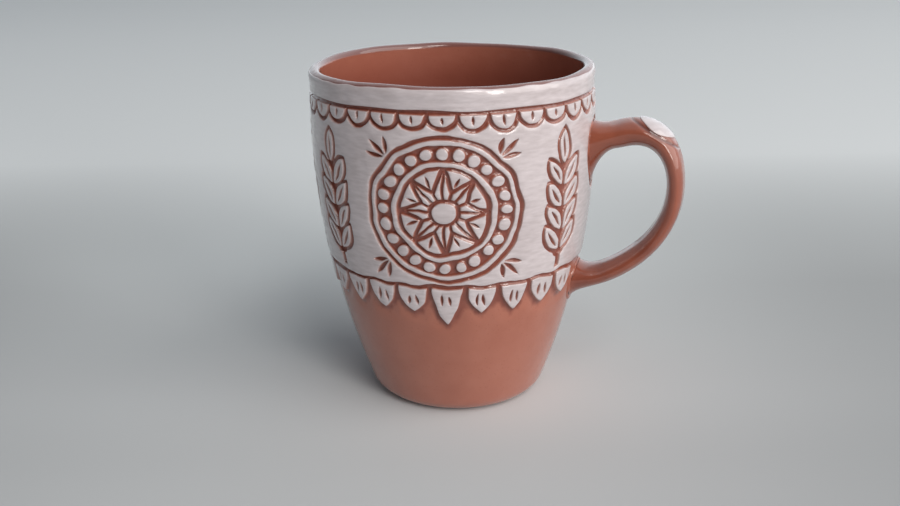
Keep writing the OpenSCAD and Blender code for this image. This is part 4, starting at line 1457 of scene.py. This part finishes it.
most = add(
    tree, "ShaderNodeMapRange",
    {
        "Value": axes.outputs["Y"], "From Min": ASIDE_NEAR, "From Max": ASIDE_FAR,
        "To Min": ASIDE_MOST, "To Max": 0.0,
    },
)
out = add(tree, "ShaderNodeMath", {0: axes.outputs["X"]}, operation="ABSOLUTE")
aside = add(
    tree, "ShaderNodeMapRange",
    {
        "Value": out.outputs["Value"], "From Min": ASIDE_FROM, "From Max": ASIDE_FULL,
        "To Max": most.outputs["Result"],
    },
    interpolation_type="SMOOTHSTEP",
)
colour = add(
    tree, "ShaderNodeMix",
    {
        "Factor": aside.outputs["Result"], "A": sweep.outputs["Color"], "B": linear(PAINTED_SHADE_AT_SIDES),
    },
    data_type="RGBA",
).outputs["Result"]
shader = add(tree, "ShaderNodeBsdfPrincipled", {"Base Color": colour, "Roughness": PAPER_ROUGH})
add(tree, "ShaderNodeOutputMaterial", {"Surface": shader.outputs["BSDF"]})
floor_mesh.materials.append(paper)
print("paper:", len(ramp.elements), "tones from front to back")

# %% [markdown]
# ## Camera
# The photograph looks down on the mug from close by, with the handle at the right and the picture
# turned by a degree. A camera could be aimed with a constraint, but the distance, height and angles
# were fitted to the photograph, so its matrix is built from them directly.

# %% Camera
FOCAL_PX, IMAGE_W, SENSOR = 1000.0, 900.0, 36.0
DISTANCE, EYE_H = 308.0, 153.0
PITCH, YAW, ROLL = math.radians(19.5), math.radians(-0.39), math.radians(1.0)
CLIP_START, CLIP_END = 0.01, 20
camera = bpy.data.objects.new("camera", bpy.data.cameras.new("camera"))
bpy.context.scene.collection.objects.link(camera)
camera.data.sensor_width = SENSOR
camera.data.lens = FOCAL_PX / IMAGE_W * SENSOR
camera.data.clip_start, camera.data.clip_end = CLIP_START, CLIP_END
level_right = Vector((math.cos(YAW), -math.sin(YAW), 0))
level_ahead = Vector((math.sin(YAW), math.cos(YAW), 0))
level_up = level_ahead * math.sin(PITCH) + Vector((0, 0, math.cos(PITCH)))
right = level_right * math.cos(ROLL) - level_up * math.sin(ROLL)
up = level_right * math.sin(ROLL) + level_up * math.cos(ROLL)
round_mug = Matrix.Rotation(VIEW_AZ, 3, "Z")
turned = round_mug @ Matrix((right, up, right.cross(up))).transposed()
camera.matrix_world = turned.to_4x4()
camera.location = round_mug @ Vector((0, -DISTANCE, EYE_H)) * MM
bpy.context.scene.camera = camera
print(f"camera {DISTANCE:.0f} mm away and {EYE_H:.0f} mm up, lens {camera.data.lens:.0f} mm")

# %% [markdown]
# ## Window light
# Soft daylight comes from a large window at the right, in front of the mug. Two small lamps nearer
# by give the short bright glints that the glaze shows. A sun lamp would be too hard for this, so
# all three are area lamps, and a large one throws a soft shadow.

# %% Windows
LAMP_TONE = "#FFFAF5"
# Degrees aside and up, metres away, metres wide and high, and watts.
WINDOWS = {
    "bay_window": (54.0, 31.0, 3.0, 4.5, 3.6, 101.0),
    "small_window": (36.0, 20.0, 1.6, 0.34, 0.8, 6.0),
    "roof_window": (18.0, 45.0, 1.6, 0.3, 0.6, 2.5),
}


def window_light(name, az_deg, up_deg, far, wide, high, watts):
    """A soft lamp that faces the mug; its angle is taken from the camera's side."""
    data = bpy.data.lights.new(name, "AREA")
    data.shape, data.size, data.size_y = "RECTANGLE", wide, high
    data.energy, data.color = watts, linear(LAMP_TONE)[:3]
    lamp = bpy.data.objects.new(name, data)
    bpy.context.scene.collection.objects.link(lamp)
    az, rise = math.radians(az_deg) + VIEW_AZ, math.radians(up_deg)
    level = math.cos(rise)
    towards = Vector((math.sin(az) * level, -math.cos(az) * level, math.sin(rise)))
    lamp.location = towards * far + Vector((0, 0, HEIGHT / 2 * MM))
    lamp.rotation_mode = "QUATERNION"
    lamp.rotation_quaternion = towards.to_track_quat("Z", "Y")


for name, settings in WINDOWS.items():
    window_light(name, *settings)
print("lamps:", ", ".join(WINDOWS))

# %% [markdown]
# ## Sky
# The room fills the shade: it is brighter on the window's side and dim on the other. What the glaze
# mirrors is the bright far side of the room and the dim place behind the camera, so glossy rays see
# a sky of their own, and the camera sees a plain pale wall. Walls with lamps behind them could do
# the same, but they would be in the way of other views.

# %% Sky
SKY_DIM, SKY_BRIGHT, SKY_FROM = 0.12, 0.6, (0.5, -0.4, 0.75)
MIRRORED_DIM, MIRRORED_BRIGHT, MIRRORED_FROM = 0.05, 2.0, (0.45, 0.8, 0.4)
DIM_AT = -0.2
AIR_TONE, WALL_TONE = "#C8CFD5", "#CDD2D5"
sky = bpy.data.worlds.new("sky")
bpy.context.scene.world = sky
sky.use_nodes = True
tree = sky.node_tree
tree.nodes.clear()
way = add(tree, "ShaderNodeTexCoord").outputs["Generated"]


def sky_glow(bright_side, dim, bright):
    """Strength of the sky, brightest on one side; the direction is given as the camera sees it."""
    towards = round_mug @ Vector(bright_side).normalized()
    facing = add(tree, "ShaderNodeVectorMath", {0: way, 1: towards}, operation="DOT_PRODUCT")
    glow = add(
        tree, "ShaderNodeMapRange",
        {"Value": facing.outputs["Value"], "From Min": DIM_AT, "To Min": dim, "To Max": bright},
    )
    return glow.outputs["Result"]


ray = add(tree, "ShaderNodeLightPath")
strength = add(
    tree, "ShaderNodeMix",
    {
        "Factor": ray.outputs["Is Glossy Ray"],
        "A": sky_glow(SKY_FROM, SKY_DIM, SKY_BRIGHT),
        "B": sky_glow(MIRRORED_FROM, MIRRORED_DIM, MIRRORED_BRIGHT),
    },
).outputs["Result"]
air = add(tree, "ShaderNodeBackground", {"Color": linear(AIR_TONE), "Strength": strength})
wall = add(tree, "ShaderNodeBackground", {"Color": linear(WALL_TONE), "Strength": 1.0})
seen = add(
    tree, "ShaderNodeMixShader",
    {0: ray.outputs["Is Camera Ray"], 1: air.outputs["Background"], 2: wall.outputs["Background"]},
)
add(tree, "ShaderNodeOutputWorld", {"Surface": seen.outputs["Shader"]})
bpy.context.scene.view_settings.view_transform = "Standard"
print("sky:", len(tree.nodes), "nodes")
